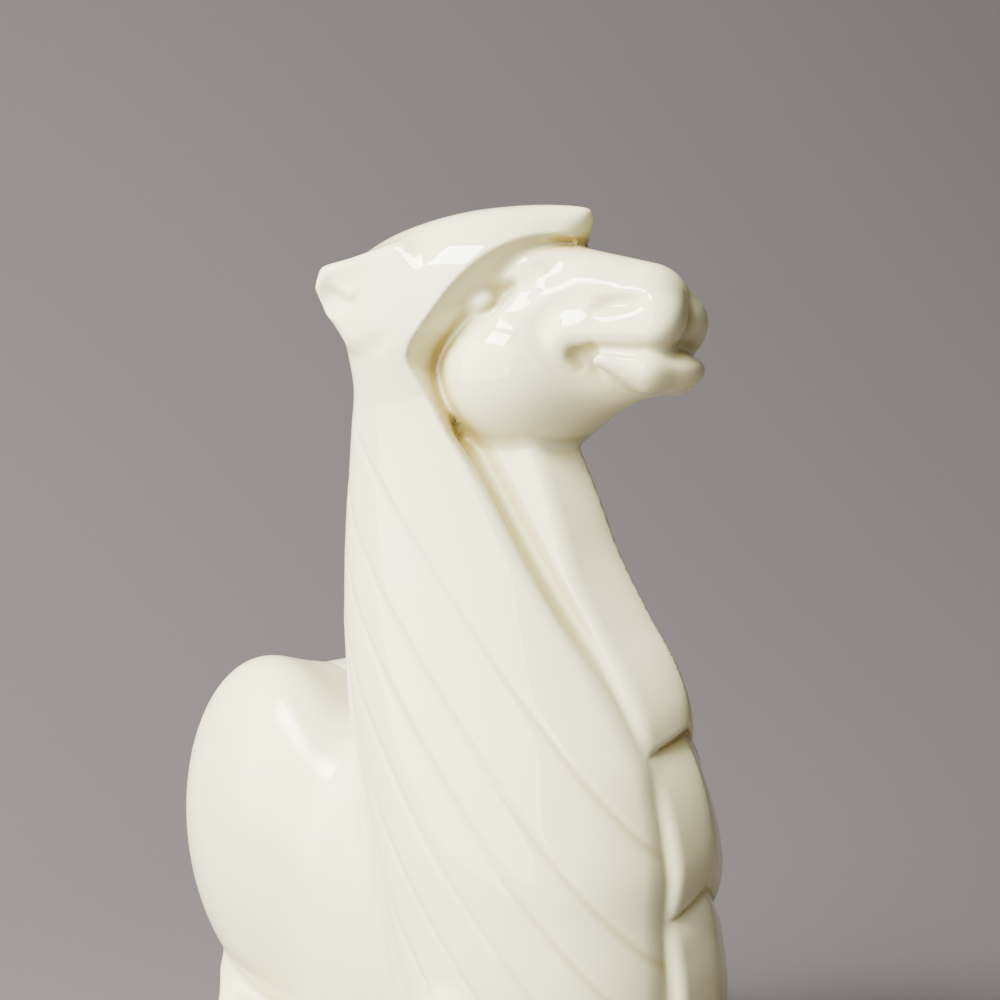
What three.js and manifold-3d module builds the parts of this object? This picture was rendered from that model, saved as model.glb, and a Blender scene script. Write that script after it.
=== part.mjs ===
// Porcelain llama figurine, lying with its legs folded and its head turned to its left.
// Millimetres, +Z up. The trunk points along -Y, and the figure stands on its unglazed sole at Z = 0.
// A real figurine like this is slip cast in several moulds and luted together with slip before it is fired,
// so each casting is one mesh here, and neighbours are parted by the thickness of the slip joint.
// Places are [side, back, height]; what comes in pairs is given for the animal's left side.

import * as THREE from "three";
import { mergeVertices } from "three/addons/utils/BufferGeometryUtils.js";
import Module from "manifold-3d";

const wasm = await Module();
wasm.setup();

// Casting

const JOINT = 0.3; // slip joint between two castings
const WALL = 4.0; // cast wall of the trunk and neck
const HEAD_WALL = 3.6; // cast wall round the hollow of the head
const SOLE = 4.0; // thickness of the slab that closes the underside
const VENT = 4.5; // radius of the vent hole in the slab
const VENT_BACK = 34; // distance of the vent behind the neck's axis
const DUCT = 5.0; // radius of the duct that joins the hollows of neck and head
const SPACE = 300; // breadth of a block of space that takes in any casting

// Pose

const TURN = THREE.MathUtils.degToRad(27); // head, neck and chest, turned to the animal's left
const NECK_SEAM = 128.0; // height of the joint between neck and hood
const NECK_DRAWN = 128; // height of that joint on the neck that the stations below are drawn for

// Neck: level sections, each with the forward reach of its nape and of its throat, and its half width, by height

const NAPE = track([
  [0, -12], [12, -13.8], [22, -15.5], [34, -17.5], [45, -20.4], [55, -23.2], [64, -25.4],
  [72.5, -27.1], [81, -28], [90, -28.6], [103, -28.5], [112, -27.8], [120, -27], [129, -25.6], [136, -25],
]);
const THROAT = track([
  [0, 22], [8, 26.5], [16, 31.5], [24, 34.2], [34, 34.8], [42.6, 34.4], [49.6, 34.8], [54.7, 34.3], [60, 33.4],
  [66.5, 31.8], [69.4, 30.4], [76.7, 26.3], [84.1, 21.9], [95.4, 15.4], [103.1, 10.9], [109.4, 7.2],
  [114.5, 4], [118.3, 0.9], [123.2, -3.2], [126.3, -5.7], [130, -8.4], [133.2, -9.6], [140, -11],
]);
const NECK_HALF = track([
  [0, 13], [8, 15], [18, 19.5], [30, 22], [45, 22.3], [60, 20.8], [75, 18.6], [90, 16.4],
  [100, 15], [112, 13.9], [122, 13.6], [132, 13.8], [140, 14],
]);
// how far the full section would run on past the flat that the throat's locks are set on
const RUN_ON = track([[0, 2.5], [50, 2.5], [65, 3.4], [75, 4.8], [95, 8], [110, 9], [130, 10]]);
const NECK_POWER = 2.1; // 2 is an ellipse, more is squarer

// Flutes: creases that wind from the nape down to the chest

const FLUTES = [6, 17.5, 29.5, 41, 52.5, 64.8, 76, 92]; // heights where the creases cross the neck's axis
const FLUTE_RISE = 1.15; // rise of a crease for each millimetre it runs back
const FLUTE_HALF = 1.07; // half breadth of a crease, up the neck
const FLUTE_DEPTH = 0.28;
const FLUTE_SWELL = 0.18; // swelling of the wool between two creases

// Hood: upright sections across the head, by forward reach

const CROWN_HEIGHT = 27.0; // height of the crown above the joint
const CROWN_LINE = track([
  [-31, -15], [-29, -10.8], [-25.6, -7.2], [-21.9, -4.8], [-17.4, -3], [-11.6, -1.5],
  [-3.8, -0.3], [3.8, 0], [11.2, -0.3], [15, -0.8], [18.4, -1.6],
]);
const HOOD_HALF = track([
  [-31, 5], [-28, 8.2], [-24, 11.4], [-20, 13.2], [-16, 14.3], [-8, 15.2], [0, 14.8],
  [6, 13], [10, 10.6], [13.5, 7.6], [18.4, 3],
]);
const HOOD_DROP = 18; // depth of its widest part under the crown
const HOOD_SKIRT = 60; // length of its lower half, which runs down into the neck
const HOOD_POWER = 2.7;
const HOOD_BACK = 25.4; // reach of the back of the hood behind the neck's axis
const FORELOCK = 18.2; // forward reach of the forelock's tip
const FORELOCK_DROP = 1.6; // depth of the tip under the crown
const FORELOCK_SLOPE = 0.7; // how fast its front falls back below the tip
const FORELOCK_POINT = 0.35; // how fast it falls back to each side

// Opening of the hood: brow line over the face, as height above the joint by forward reach

const BROW = track([
  [-20, -4], [-12, 0.6], [-8.6, 3.9], [-4.3, 8.4], [-0.2, 12.7], [2.6, 15.3], [5, 17.2],
  [8.1, 19.1], [11, 20.4], [13.3, 20.9], [15.1, 20.6], [17, 19.2], [20, 16.5], [60, 16],
]);
const BROW_CORNER = 2.5; // rounding where brow and throat line meet
const REVEAL = 1.0; // how far the hood's edge slopes forward for each millimetre it goes in
const REVEAL_DEEP = 8.0; // depth where it stops
const REVEAL_OUT = 4.0; // how far outside the skin it begins
const OPENING_FRONT = 14; // reach of a line across the head that lies wholly in the opening
const OPENING_HALF = 24; // half its length, past the cheeks
const REVEAL_DROP = 14; // how far below the joint it begins

// Ears, laid back against the hood; outline as forward reach and height above the joint

const EAR = {
  outline: [[-25, 16.1], [-25.6, 14.4], [-23.5, 11], [-19.4, 6.4], [-10, 12], [-12, 18.6]],
  round: 2.0, // rounding of the outline
  half: 2.9, // half the thickness
  sunk: 2.9, // depth of its middle inside the hood's side
  splay: 0.1, // how far it leans out for each millimetre it goes back
  dish: { at: [16.2, 22.9, 12.4], size: [2.7, 4, 3.5] },
  ridge: { from: [12.6, 24.6, 15.6], to: [13.6, 20, 12.9], radii: [1.2, 0.9] },
};

// Face; heights are above the joint

const CHEEK = { at: [0, -4.4, -1.4], size: [13.2, 15.2, 14.8] };
const SKULL = { at: [0, -4, 8.5], size: [11, 16.5, 12] };
const MUZZLE = { from: [0, -8, 10], to: [0, -26.6, 8.9], radii: [10.8, 7.7] };
const NOSE_LOBE = { at: [3.3, -28, 7.1], size: [4.9, 6.2, 4.7] };
const UPPER_LIP = { from: [7.9, -21, 5.4], to: [4.8, -30, 5.7], radii: [2.4, 3.3] };
const JAW = { from: [0, -8.6, -3], to: [0, -26, -0.6], radii: [9, 4] };
const LOWER_LIP = { at: [0, -28.2, -1.1], size: [6.6, 8.7, 3.6] };
const LIP_ROLL = { from: [9, -21.8, -0.1], to: [5.2, -30, -1.2], radii: [2.2, 3.4] };
const MOUTH_CORNER = [
  { from: [10.8, -22.2, 2.9], to: [12, -18.6, 1.8], radii: [0.8, 1.2] },
  { from: [12, -18.6, 1.8], to: [11.7, -19, -0.8], radii: [1.2, 0.7] },
];
const NOSTRIL = { at: [12.3, -27.4, 7.8], size: [3.4, 7.6, 3.2], tilt: -6 };
const NOSTRIL_FOLD = { at: [9.2, -24.9, 9.3], size: [1.5, 3.2, 0.8] };
const CLEFT = { at: [0, -36, 7.6], size: [0.9, 2.8, 4.8] };
const SOCKET = { at: [12.8, -3.6, 10.2], size: [3.3, 4.9, 2.9], tilt: 26 };
const EYEBALL = { at: [9.2, -1.8, 9.8], size: [2.2, 3.2, 2.1], tilt: 26 };
// hollow over the eye, under the hood's edge
const BROW_COVE = [
  { at: [14, 6, 3.5], radius: 1.8 },
  { at: [14.4, 2, 7.6], radius: 2.6 },
  { at: [14.6, -3.5, 11], radius: 3.8 },
  { at: [13.4, -9.5, 13.6], radius: 4.4 },
  { at: [11.2, -14.4, 16.6], radius: 3.6 },
  { at: [8.4, -18, 18.6], radius: 2.2 },
];

// Throat: a raised keel of wool that ends on the chest in three overlapping locks

const LOCKS = [
  {
    half: 8.9, keel: 0.5, bottom: 71.3, top: 126, lean: 0.88,
    front: track([
      [66, 34.6], [71.5, 34.3], [73.5, 34.2], [76, 33.8], [80, 32.4], [85, 29.7], [87.3, 28.2], [91.2, 25.9],
      [99, 21.7], [107, 18.4], [111, 16.7], [117, 14], [124, 11],
    ]),
  },
  {
    half: 8.6, keel: 0.3, bottom: 46.2, top: 78, lean: 0.95,
    front: track([
      [44, 35], [46.2, 36.4], [48.1, 37.3], [50.6, 38], [53.4, 38.3], [57.7, 37.8], [61.9, 36.8], [67.8, 34.6],
      [72, 32.4], [80, 28.5],
    ]),
  },
  {
    half: 8.8, keel: 0.28, bottom: 18.5, top: 53, lean: 0.97,
    front: track([
      [14, 32], [18, 35.4], [22, 37.2], [28, 38.6], [33, 39], [36, 38.9], [40, 38.4], [44.5, 37.5], [48, 36], [54, 33],
    ]),
  },
];
const LOCK_DROP = 0.5; // how much lower a lock ends for each millimetre out from the midline
const LOCK_TAPER = 1.6; // how much narrower the throat grows towards the jaw
const LOCK_TAPER_FROM = 95; // height where it starts to
const LOCK_TAPER_OVER = 20; // height that it does so over
const LOCK_DEEP = 12; // how far the locks reach back behind the throat's flat

// Trunk, in the trunk's own line

const LOIN = { at: [0, 28, 38], size: [19.5, 42, 29] };
const RUMP = { at: [0, 60, 46], size: [19, 24, 29.5] };
const BELLY = { at: [0, 38, 24], size: [17, 40, 27] };
const THIGH = { at: [12.8, 58.2, 48], size: [13.5, 25.4, 29.6], tilt: 6 };
const TAIL = {
  narrow: 0.8, // breadth against height of its section
  dock: { from: [0, 77, 66], to: [0, 83.5, 52], radii: [3.2, 5.6] },
  tip: { from: [0, 83.5, 52], to: [0, 82.5, 31], radii: [5.6, 2.2] },
};

// Legs, folded under the trunk

const HIND_LEG = {
  bend: 4,
  upper: { from: [12.5, 67, 17], to: [15.5, 61, 7.5], radii: [6.5, 6.5] },
  shank: { from: [15.5, 61, 7.5], to: [20, 30, 5.6], radii: [6.5, 4.6] },
  toes: [
    { from: [18.2, 31, 4.6], to: [17.6, 20.5, 3.4], radii: [4, 2.8] },
    { from: [22.8, 31, 4.6], to: [23.4, 20.5, 3.4], radii: [4, 2.8] },
  ],
};
const FORELEG = {
  bend: 3,
  upper: { from: [15.5, -4, 25], to: [10.2, -27.5, 9.5], radii: [8, 7] },
  shank: { from: [10.2, -28.5, 7], to: [16.5, 0, 5.8], radii: [7, 4.8] },
  toes: [
    { from: [14.6, -1, 4.6], to: [14.4, 10.5, 3.4], radii: [4, 2.8] },
    { from: [19.2, -1, 4.6], to: [20, 10.5, 3.4], radii: [4, 2.8] },
  ],
};

// Glaze

const GLAZE = { color: 0xeeeddd, roughness: 0.1, metalness: 0 };
const GLAZE_WARM = { color: 0xebe9d8, roughness: 0.12, metalness: 0 };
const BISQUE = { color: 0xe6dfcd, roughness: 0.8, metalness: 0 };

// A smooth curve through stations, with the mean slope of its neighbours at each one, level past its ends.
function track(stations) {
  const x = stations.map((s) => s[0]);
  const y = stations.map((s) => s[1]);
  const rise = x.slice(1).map((v, i) => (y[i + 1] - y[i]) / (v - x[i]));
  const slope = x.map((v, i) => {
    if (i === 0) return rise[0];
    if (i === x.length - 1) return rise[i - 1];
    if (rise[i - 1] * rise[i] <= 0) return 0;
    const before = v - x[i - 1];
    const after = x[i + 1] - v;
    return (rise[i - 1] * after + rise[i] * before) / (before + after);
  });
  return (at) => {
    const t = clamp(at, x[0], x[x.length - 1]);
    let i = 0;
    while (i < x.length - 2 && t > x[i + 1]) i++;
    const h = x[i + 1] - x[i];
    const v = (t - x[i]) / h;
    const w = 1 - v;
    return (
      w * w * (1 + 2 * v) * y[i] +
      v * w * w * h * slope[i] +
      v * v * (3 - 2 * v) * y[i + 1] -
      v * v * w * h * slope[i + 1]
    );
  };
}

function clamp(value, low, high) {
  return Math.min(Math.max(value, low), high);
}

// Cosine of a curve's slope, which turns a level distance into one across the curve.
function lean(curve, at) {
  const step = 0.05;
  return 1 / Math.hypot(1, (curve(at + step) - curve(at - step)) / (2 * step));
}

// A height on a longer or shorter neck, as a height on the drawn one, and back. The head keeps its own size.
const drawn = (z) => (z < NECK_SEAM ? (z * NECK_DRAWN) / NECK_SEAM : z - NECK_SEAM + NECK_DRAWN);
const raised = (z) => (z < NECK_DRAWN ? (z * NECK_SEAM) / NECK_DRAWN : z - NECK_DRAWN + NECK_SEAM);

// Depth of a point outside a form, negative inside it.

function egg(form, x, y, z) {
  const [a, b, c] = form.size;
  const tilt = THREE.MathUtils.degToRad(form.tilt || 0);
  const back = y - form.at[1];
  const up = z - form.at[2];
  const p = x - form.at[0];
  const q = back * Math.cos(tilt) - up * Math.sin(tilt);
  const r = up * Math.cos(tilt) + back * Math.sin(tilt);
  const near = Math.hypot(p / a, q / b, r / c) + 1e-9;
  const steep = Math.hypot(p / (a * a), q / (b * b), r / (c * c)) + 1e-9;
  return (near * (near - 1)) / steep;
}

// Two balls and the cone that touches both.
function rod(form, x, y, z) {
  const [ax, ay, az] = form.from;
  const [bx, by, bz] = form.to;
  const length = Math.hypot(bx - ax, by - ay, bz - az);
  const taper = (form.radii[0] - form.radii[1]) / length;
  const along = ((x - ax) * (bx - ax) + (y - ay) * (by - ay) + (z - az) * (bz - az)) / length;
  const apart = (x - ax) ** 2 + (y - ay) ** 2 + (z - az) ** 2;
  const out = Math.sqrt(Math.max(apart - along * along, 0));
  const foot = clamp(along - (out * taper) / Math.sqrt(1 - taper * taper), 0, length);
  return Math.hypot(out, along - foot) - (form.radii[0] - taper * foot);
}

function oval(across, up, halfWidth, halfHeight, power) {
  const r = (Math.abs(across / halfWidth) ** power + Math.abs(up / halfHeight) ** power) ** (1 / power);
  return (r - 1) * Math.min(halfWidth, halfHeight);
}

// Joins two forms with a fillet of about the given breadth, keeps what they share, or carves one out of the other.

function blend(a, b, fillet) {
  const h = clamp(0.5 + (0.5 * (b - a)) / fillet, 0, 1);
  return b + (a - b) * h - fillet * h * (1 - h);
}

const shared = (a, b, rounding) => -blend(-a, -b, rounding);
const carved = (a, tool, rounding) => shared(a, -tool, rounding);

function softStep(t) {
  const v = clamp(t, 0, 1);
  return v * v * (3 - 2 * v);
}

// The neck's level section at a height, as reach of its middle, half length and half width.
function neckSection(z) {
  const height = drawn(z);
  const nape = NAPE(height);
  const front = THROAT(Math.min(height, 130)) + RUN_ON(height);
  return { height, mid: (nape + front) / 2, long: (front - nape) / 2, half: NECK_HALF(height) };
}

// Relief of the flutes at an angle round the neck, 0 at the front and PI at the nape.
function flute(section, forward, angle) {
  const wrapped = section.mid - section.long * (angle - Math.PI / 2);
  const run = angle < Math.PI / 2 ? forward : wrapped;
  const level = section.height + FLUTE_RISE * run;
  const nearest = Math.min(...FLUTES.map((v) => Math.abs(level - v)));
  const groove = Math.exp(-((nearest / FLUTE_HALF) ** 2));
  const next = clamp(FLUTES.findIndex((v) => v > level), 1, FLUTES.length - 1);
  const t = clamp((level - FLUTES[next - 1]) / (FLUTES[next] - FLUTES[next - 1]), 0, 1);
  const round = clamp((THREE.MathUtils.degToRad(172) - angle) / (Math.PI / 3), 0, 1);
  const high = clamp((NECK_DRAWN - 4 - section.height) / 10, 0, 1);
  const low = clamp((section.height - 12) / 14, 0, 1);
  return round * high * low * (FLUTE_DEPTH * groove - FLUTE_SWELL * 4 * t * (1 - t));
}

function neckPlain(x, y, z) {
  const section = neckSection(z);
  return oval(-y - section.mid, x, section.long, section.half, NECK_POWER);
}

function neckForm(x, y, z) {
  const section = neckSection(z);
  const angle = Math.atan2(Math.abs(x) / section.half, (-y - section.mid) / section.long);
  return neckPlain(x, y, z) + flute(section, -y, angle);
}

function hoodForm(x, y, z) {
  const forward = -y;
  const crown = NECK_SEAM + CROWN_HEIGHT;
  const middle = crown - HOOD_DROP;
  const half = z > middle ? crown + CROWN_LINE(forward) - middle : HOOD_SKIRT;
  const shell = oval(x, z - middle, HOOD_HALF(forward), half, HOOD_POWER);
  const fall = FORELOCK_SLOPE * Math.max(crown - FORELOCK_DROP - z, 0) + FORELOCK_POINT * Math.abs(x);
  const tip = (forward - FORELOCK + fall) / Math.hypot(1, FORELOCK_SLOPE, FORELOCK_POINT);
  const back = -HOOD_BACK - 0.14 * (z - NECK_SEAM) - forward;
  return shared(shared(shell, tip, 1.2), back, 7);
}

// Neck and hood are one flowing form, before the face is opened in it.
function mantleForm(x, y, z) {
  const t = softStep((z - NECK_SEAM + 7) / REVEAL_DROP);
  if (t === 0) return neckForm(x, y, z);
  if (t === 1) return hoodForm(x, y, z);
  return neckForm(x, y, z) * (1 - t) + hoodForm(x, y, z) * t;
}

// The opening for the face: in front of the throat line and under the brow line, narrower the deeper it goes.
function openingForm(x, y, z) {
  const forward = -y;
  const height = drawn(z);
  const throat = (THROAT(height) - forward) * lean(THROAT, height);
  const brow = (z - NECK_SEAM - BROW(forward)) * lean(BROW, forward);
  const slope = REVEAL * softStep((z - NECK_SEAM + REVEAL_DROP) / REVEAL_DROP);
  return shared(throat, brow, BROW_CORNER) + slope * clamp(-mantleForm(x, y, z), -REVEAL_OUT, REVEAL_DEEP);
}

function earForm(x, y, z) {
  const forward = -y;
  const height = z - NECK_SEAM;
  let inside = false;
  let edge = Infinity;
  EAR.outline.forEach((a, i) => {
    const b = EAR.outline[(i + 1) % EAR.outline.length];
    edge = Math.min(edge, toSegment(forward, height, a, b));
    const crosses = a[1] > height !== b[1] > height;
    if (crosses && forward < a[0] + ((b[0] - a[0]) * (height - a[1])) / (b[1] - a[1])) inside = !inside;
  });
  const blade = (inside ? -edge : edge) - EAR.round;
  const [x0, , middle] = earMiddle();
  const slab = Math.abs(x - x0 + EAR.splay * (forward + middle)) - EAR.half;
  const cupped = carved(shared(blade, slab, 2.2), egg(EAR.dish, x, y, height), 1.4);
  return blend(cupped, rod(EAR.ridge, x, y, height), 1.2);
}

// Side reach of the ear's middle, its back end's reach, and its middle's reach behind the neck's axis.
function earMiddle() {
  const middle = -(EAR.outline[2][0] + EAR.outline[5][0]) / 2;
  return [HOOD_HALF(-middle) - EAR.sunk, -EAR.outline[1][0], middle];
}

// Distance from a point to a line between two points, all in one plane.
function toSegment(px, py, [ax, ay], [bx, by]) {
  const dx = bx - ax;
  const dy = by - ay;
  const t = clamp(((px - ax) * dx + (py - ay) * dy) / (dx * dx + dy * dy), 0, 1);
  return Math.hypot(px - ax - dx * t, py - ay - dy * t);
}

function coveForm(x, y, z) {
  const rods = BROW_COVE.slice(1).map((end, i) => {
    const start = BROW_COVE[i];
    return rod({ from: start.at, to: end.at, radii: [start.radius, end.radius] }, x, y, z);
  });
  return rods.reduce((a, b) => blend(a, b, 2));
}

function faceForm(left, y, height) {
  const x = Math.abs(left);
  const z = height - NECK_SEAM;
  let d = blend(egg(CHEEK, x, y, z), egg(SKULL, x, y, z), 5);
  d = blend(d, rod(MUZZLE, x, y, z), 5);
  d = blend(d, egg(NOSE_LOBE, x, y, z), 2);
  d = blend(d, rod(UPPER_LIP, x, y, z), 3);
  d = carved(d, coveForm(x, y, z), 2);
  const lip = blend(egg(LOWER_LIP, x, y, z), rod(LIP_ROLL, x, y, z), 2.5);
  d = blend(blend(d, rod(JAW, x, y, z), 4), lip, 0.9);
  d = carved(d, blend(rod(MOUTH_CORNER[0], x, y, z), rod(MOUTH_CORNER[1], x, y, z), 0.5), 1.8);
  d = carved(d, egg(NOSTRIL, x, y, z), 4);
  d = carved(d, egg(NOSTRIL_FOLD, x, y, z), 2);
  d = carved(d, egg(CLEFT, x, y, z), 1.6);
  d = carved(d, egg(SOCKET, x, y, z), 1.8);
  return blend(d, egg(EYEBALL, x, y, z), 1.6);
}

function lockForm(lock, x, y, z) {
  const side = Math.abs(x);
  const height = drawn(z);
  const half = lock.half - LOCK_TAPER * clamp((height - LOCK_TAPER_FROM) / LOCK_TAPER_OVER, 0, 1);
  const level = height + LOCK_DROP * side;
  const keel = -y - lock.front(level) + lock.keel * (Math.hypot(side, 2) - 2);
  const bar = shared(keel / Math.hypot(1, lock.keel), (side - half) * 0.93, 1.6) * lock.lean;
  const trimmed = shared(shared(bar, lock.bottom - level, 1.6), level - lock.top, 2);
  return shared(trimmed, THROAT(height) - LOCK_DEEP + y, 2);
}

const throatForm = (x, y, z) => Math.min(...LOCKS.map((lock) => lockForm(lock, x, y, z)));

function trunkForm(left, y, z) {
  const x = Math.abs(left);
  const back = blend(egg(LOIN, x, y, z), egg(RUMP, x, y, z), 12);
  return blend(blend(back, egg(BELLY, x, y, z), 8), egg(THIGH, x, y, z), 9);
}

const tailForm = (x, y, z) => blend(rod(TAIL.dock, x * TAIL.narrow, y, z), rod(TAIL.tip, x * TAIL.narrow, y, z), 3);

function legForm(leg, x, y, z) {
  const foot = blend(rod(leg.toes[0], x, y, z), rod(leg.toes[1], x, y, z), 1);
  return blend(blend(rod(leg.upper, x, y, z), rod(leg.shank, x, y, z), leg.bend), foot, 2.5);
}

// Nets of points on the built-in shapes, with shared points joined and empty faces left out.
function joined(geometry) {
  const plain = geometry.clone();
  plain.deleteAttribute("normal");
  plain.deleteAttribute("uv");
  const net = mergeVertices(plain, 1e-4);
  const index = [];
  for (let i = 0; i < net.index.count; i += 3) {
    const [a, b, c] = [0, 1, 2].map((k) => net.index.getX(i + k));
    if (a !== b && b !== c && a !== c) index.push(a, b, c);
  }
  net.setIndex(index);
  return net;
}

function solid(geometry) {
  const net = joined(geometry);
  const vertProperties = new Float32Array(net.attributes.position.array);
  const triVerts = new Uint32Array(net.index.array);
  return new wasm.Manifold(new wasm.Mesh({ numProp: 3, vertProperties, triVerts }));
}

function geometryOf(body) {
  const mesh = body.getMesh();
  const geometry = new THREE.BufferGeometry();
  geometry.setAttribute("position", new THREE.BufferAttribute(new Float32Array(mesh.vertProperties), 3));
  geometry.setIndex(new THREE.BufferAttribute(new Uint32Array(mesh.triVerts), 1));
  geometry.computeVertexNormals();
  return geometry;
}

// Walks out from a root along a direction to the skin of a form.
function toSkin(form, root, direction) {
  const at = (t) => form(root.x + direction.x * t, root.y + direction.y * t, root.z + direction.z * t);
  let low = 0;
  let high = 1;
  while (at(high) < 0 && high < SPACE / 2) {
    low = high;
    high += 1;
  }
  for (let i = 0; i < 22; i++) {
    const middle = (low + high) / 2;
    if (at(middle) < 0) low = middle;
    else high = middle;
  }
  return root.clone().addScaledVector(direction, high);
}

// A capsule round a spine, with each of its points carried out to the skin of the form.
function skin(form, from, to, around, along, cap) {
  const start = new THREE.Vector3(...from);
  const axis = new THREE.Vector3(...to).sub(start);
  const length = axis.length();
  axis.normalize();
  const aimed = new THREE.Quaternion().setFromUnitVectors(new THREE.Vector3(0, 1, 0), axis);
  const net = joined(new THREE.CapsuleGeometry(1, length, cap, around, along));
  net.translate(0, length / 2, 0).applyQuaternion(aimed).translate(start.x, start.y, start.z);
  const position = net.attributes.position;
  for (let i = 0; i < position.count; i++) {
    const point = new THREE.Vector3().fromBufferAttribute(position, i);
    const t = clamp(point.clone().sub(start).dot(axis), 0, length);
    const root = start.clone().addScaledVector(axis, t);
    const direction = point.sub(root).normalize();
    position.setXYZ(i, ...toSkin(form, root, direction).toArray());
  }
  return solid(net);
}

const grown = (form, by) => (x, y, z) => form(x, y, z) - by;

// A block of space between two heights, wide enough for any casting.
function slabOfSpace(low, high) {
  const box = new THREE.BoxGeometry(SPACE, SPACE, high - low);
  return solid(box.translate(0, 0, (low + high) / 2));
}

function duct(from, to, radius) {
  const start = new THREE.Vector3(...from);
  const axis = new THREE.Vector3(...to).sub(start);
  const length = axis.length();
  const aimed = new THREE.Quaternion().setFromUnitVectors(new THREE.Vector3(0, 1, 0), axis.normalize());
  const tube = new THREE.CylinderGeometry(radius, radius, length, 20);
  return solid(tube.translate(0, length / 2, 0).applyQuaternion(aimed).translate(...from));
}

function part(name, body, finish) {
  const mesh = new THREE.Mesh(geometryOf(body), new THREE.MeshStandardMaterial(finish));
  mesh.name = name;
  return mesh;
}

// The same body in the neck's turned frame.
const turned = (body) => solid(geometryOf(body).rotateZ(TURN));

function mirrored(body) {
  const geometry = geometryOf(body).scale(-1, 1, 1);
  const index = geometry.index;
  for (let i = 0; i < index.count; i += 3) {
    const kept = index.getX(i);
    index.setX(i, index.getX(i + 1));
    index.setX(i + 1, kept);
  }
  return solid(geometry);
}

// Everything in front of the hood's edge and of the throat's flat, drawn back by a clearance.
function opening(clearance) {
  const below = NECK_DRAWN - 12;
  const far = THROAT(50) + 30;
  const outline = new THREE.Shape();
  outline.moveTo(THROAT(below) + clearance, raised(below));
  for (let height = below - 4; height >= 0; height -= 4) {
    outline.lineTo(THROAT(height) + clearance, raised(height));
  }
  outline.lineTo(THROAT(0) + clearance, -SOLE);
  outline.lineTo(far, -SOLE);
  outline.lineTo(far, raised(below));
  const block = new THREE.ExtrudeGeometry(outline, { depth: 2 * far, bevelEnabled: false });
  const toSide = new THREE.Matrix4().makeBasis(
    new THREE.Vector3(0, -1, 0),
    new THREE.Vector3(0, 0, 1),
    new THREE.Vector3(-1, 0, 0),
  );
  const prism = solid(block.applyMatrix4(toSide).translate(far, 0, 0));
  const room = (x, y, z) => {
    const ball = Math.hypot(x, y + OPENING_FRONT, z - NECK_SEAM) - 2 * OPENING_HALF;
    const floor = raised(below - 3) - z;
    return Math.max(openingForm(x, y, z) + clearance, ball, floor);
  };
  const [half, root] = [OPENING_HALF, NECK_SEAM - 2];
  return prism.add(skin(room, [-half, -OPENING_FRONT, root], [half, -OPENING_FRONT, root], 52, 30, 4));
}

// The neck as a cylinder whose rings follow the flutes: each ring is one level of the winding creases.
function neckNet(around) {
  const levels = [];
  for (let level = -48; level < FLUTES[0] - 3; level += 9) levels.push(level);
  FLUTES.forEach((level, i) => {
    levels.push(level);
    if (i + 1 < FLUTES.length) [0.2, 0.5, 0.8].forEach((t) => levels.push(level + (FLUTES[i + 1] - level) * t));
  });
  const last = FLUTES[FLUTES.length - 1];
  for (let level = last + 2.3; level < NECK_DRAWN + 62; level += 7) levels.push(level);
  const rings = levels.length - 1;
  const net = joined(new THREE.CylinderGeometry(1, 1, 2, around, rings));
  const position = net.attributes.position;
  for (let i = 0; i < position.count; i++) {
    const [px, py, pz] = [position.getX(i), position.getY(i), position.getZ(i)];
    const level = levels[Math.round(((py + 1) / 2) * rings)];
    const turn = Math.atan2(px, pz);
    const angle = Math.abs(turn);
    const onAxis = Math.hypot(px, pz) < 0.5;
    const c = Math.abs(Math.cos(angle)) ** NECK_POWER;
    const s = Math.abs(Math.sin(angle)) ** NECK_POWER;
    const radius = (c + s) ** (-1 / NECK_POWER);
    let height = level;
    let section = neckSection(raised(height));
    for (let step = 0; step < 40; step++) {
      section = neckSection(raised(height));
      const reach = section.mid + section.long * radius * Math.cos(angle);
      const wrapped = section.mid - section.long * (angle - Math.PI / 2);
      const run = angle < Math.PI / 2 ? reach : wrapped;
      height += (level - FLUTE_RISE * (onAxis ? section.mid : run) - height) * 0.5;
    }
    const root = new THREE.Vector3(0, -section.mid, raised(height));
    if (onAxis) {
      position.setXYZ(i, ...root.toArray());
      continue;
    }
    const direction = new THREE.Vector3(section.half * Math.sin(turn), -section.long * Math.cos(turn), 0).normalize();
    const form = height < NECK_DRAWN + 6 ? mantleForm : neckForm;
    position.setXYZ(i, ...toSkin(form, root, direction).toArray());
  }
  return net;
}

// The neck's hollow, a wall inside its skin and inside the throat's flat.
function neckHollow() {
  const inner = (x, y, z) => {
    const flat = -y - THROAT(drawn(z)) + WALL;
    const ends = Math.max(z - NECK_SEAM - 3, SOLE - 3 - z);
    return shared(shared(neckPlain(x, y, z) + WALL, flat, 2), ends, 2);
  };
  return skin(inner, [0, -3, 5 * SOLE], [0, 15.5, raised(NECK_DRAWN - 12)], 20, 12, 4);
}

// Head and neck, in their own straight frame

const aboveSeam = slabOfSpace(NECK_SEAM + JOINT, NECK_SEAM + CROWN_HEIGHT + 2 * HOOD_DROP);
const belowSeam = slabOfSpace(SOLE + JOINT, NECK_SEAM);

const faceSpine = [[0, -3, NECK_SEAM + 3], [0, -27, NECK_SEAM + 4.6]];
const faceSolid = skin(faceForm, ...faceSpine, 52, 22, 11);
const faceRoom = skin(grown(faceForm, JOINT), ...faceSpine, 52, 22, 11);
const faceHollow = skin(grown(faceForm, -HEAD_WALL), faceSpine[0], [0, -18, NECK_SEAM + 5], 16, 5, 4);
const headDuct = duct([0, -4, NECK_SEAM + 2], [0, 14, raised(NECK_DRAWN - 20)], DUCT);
const face = faceSolid.subtract(faceHollow).subtract(headDuct);

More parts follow.
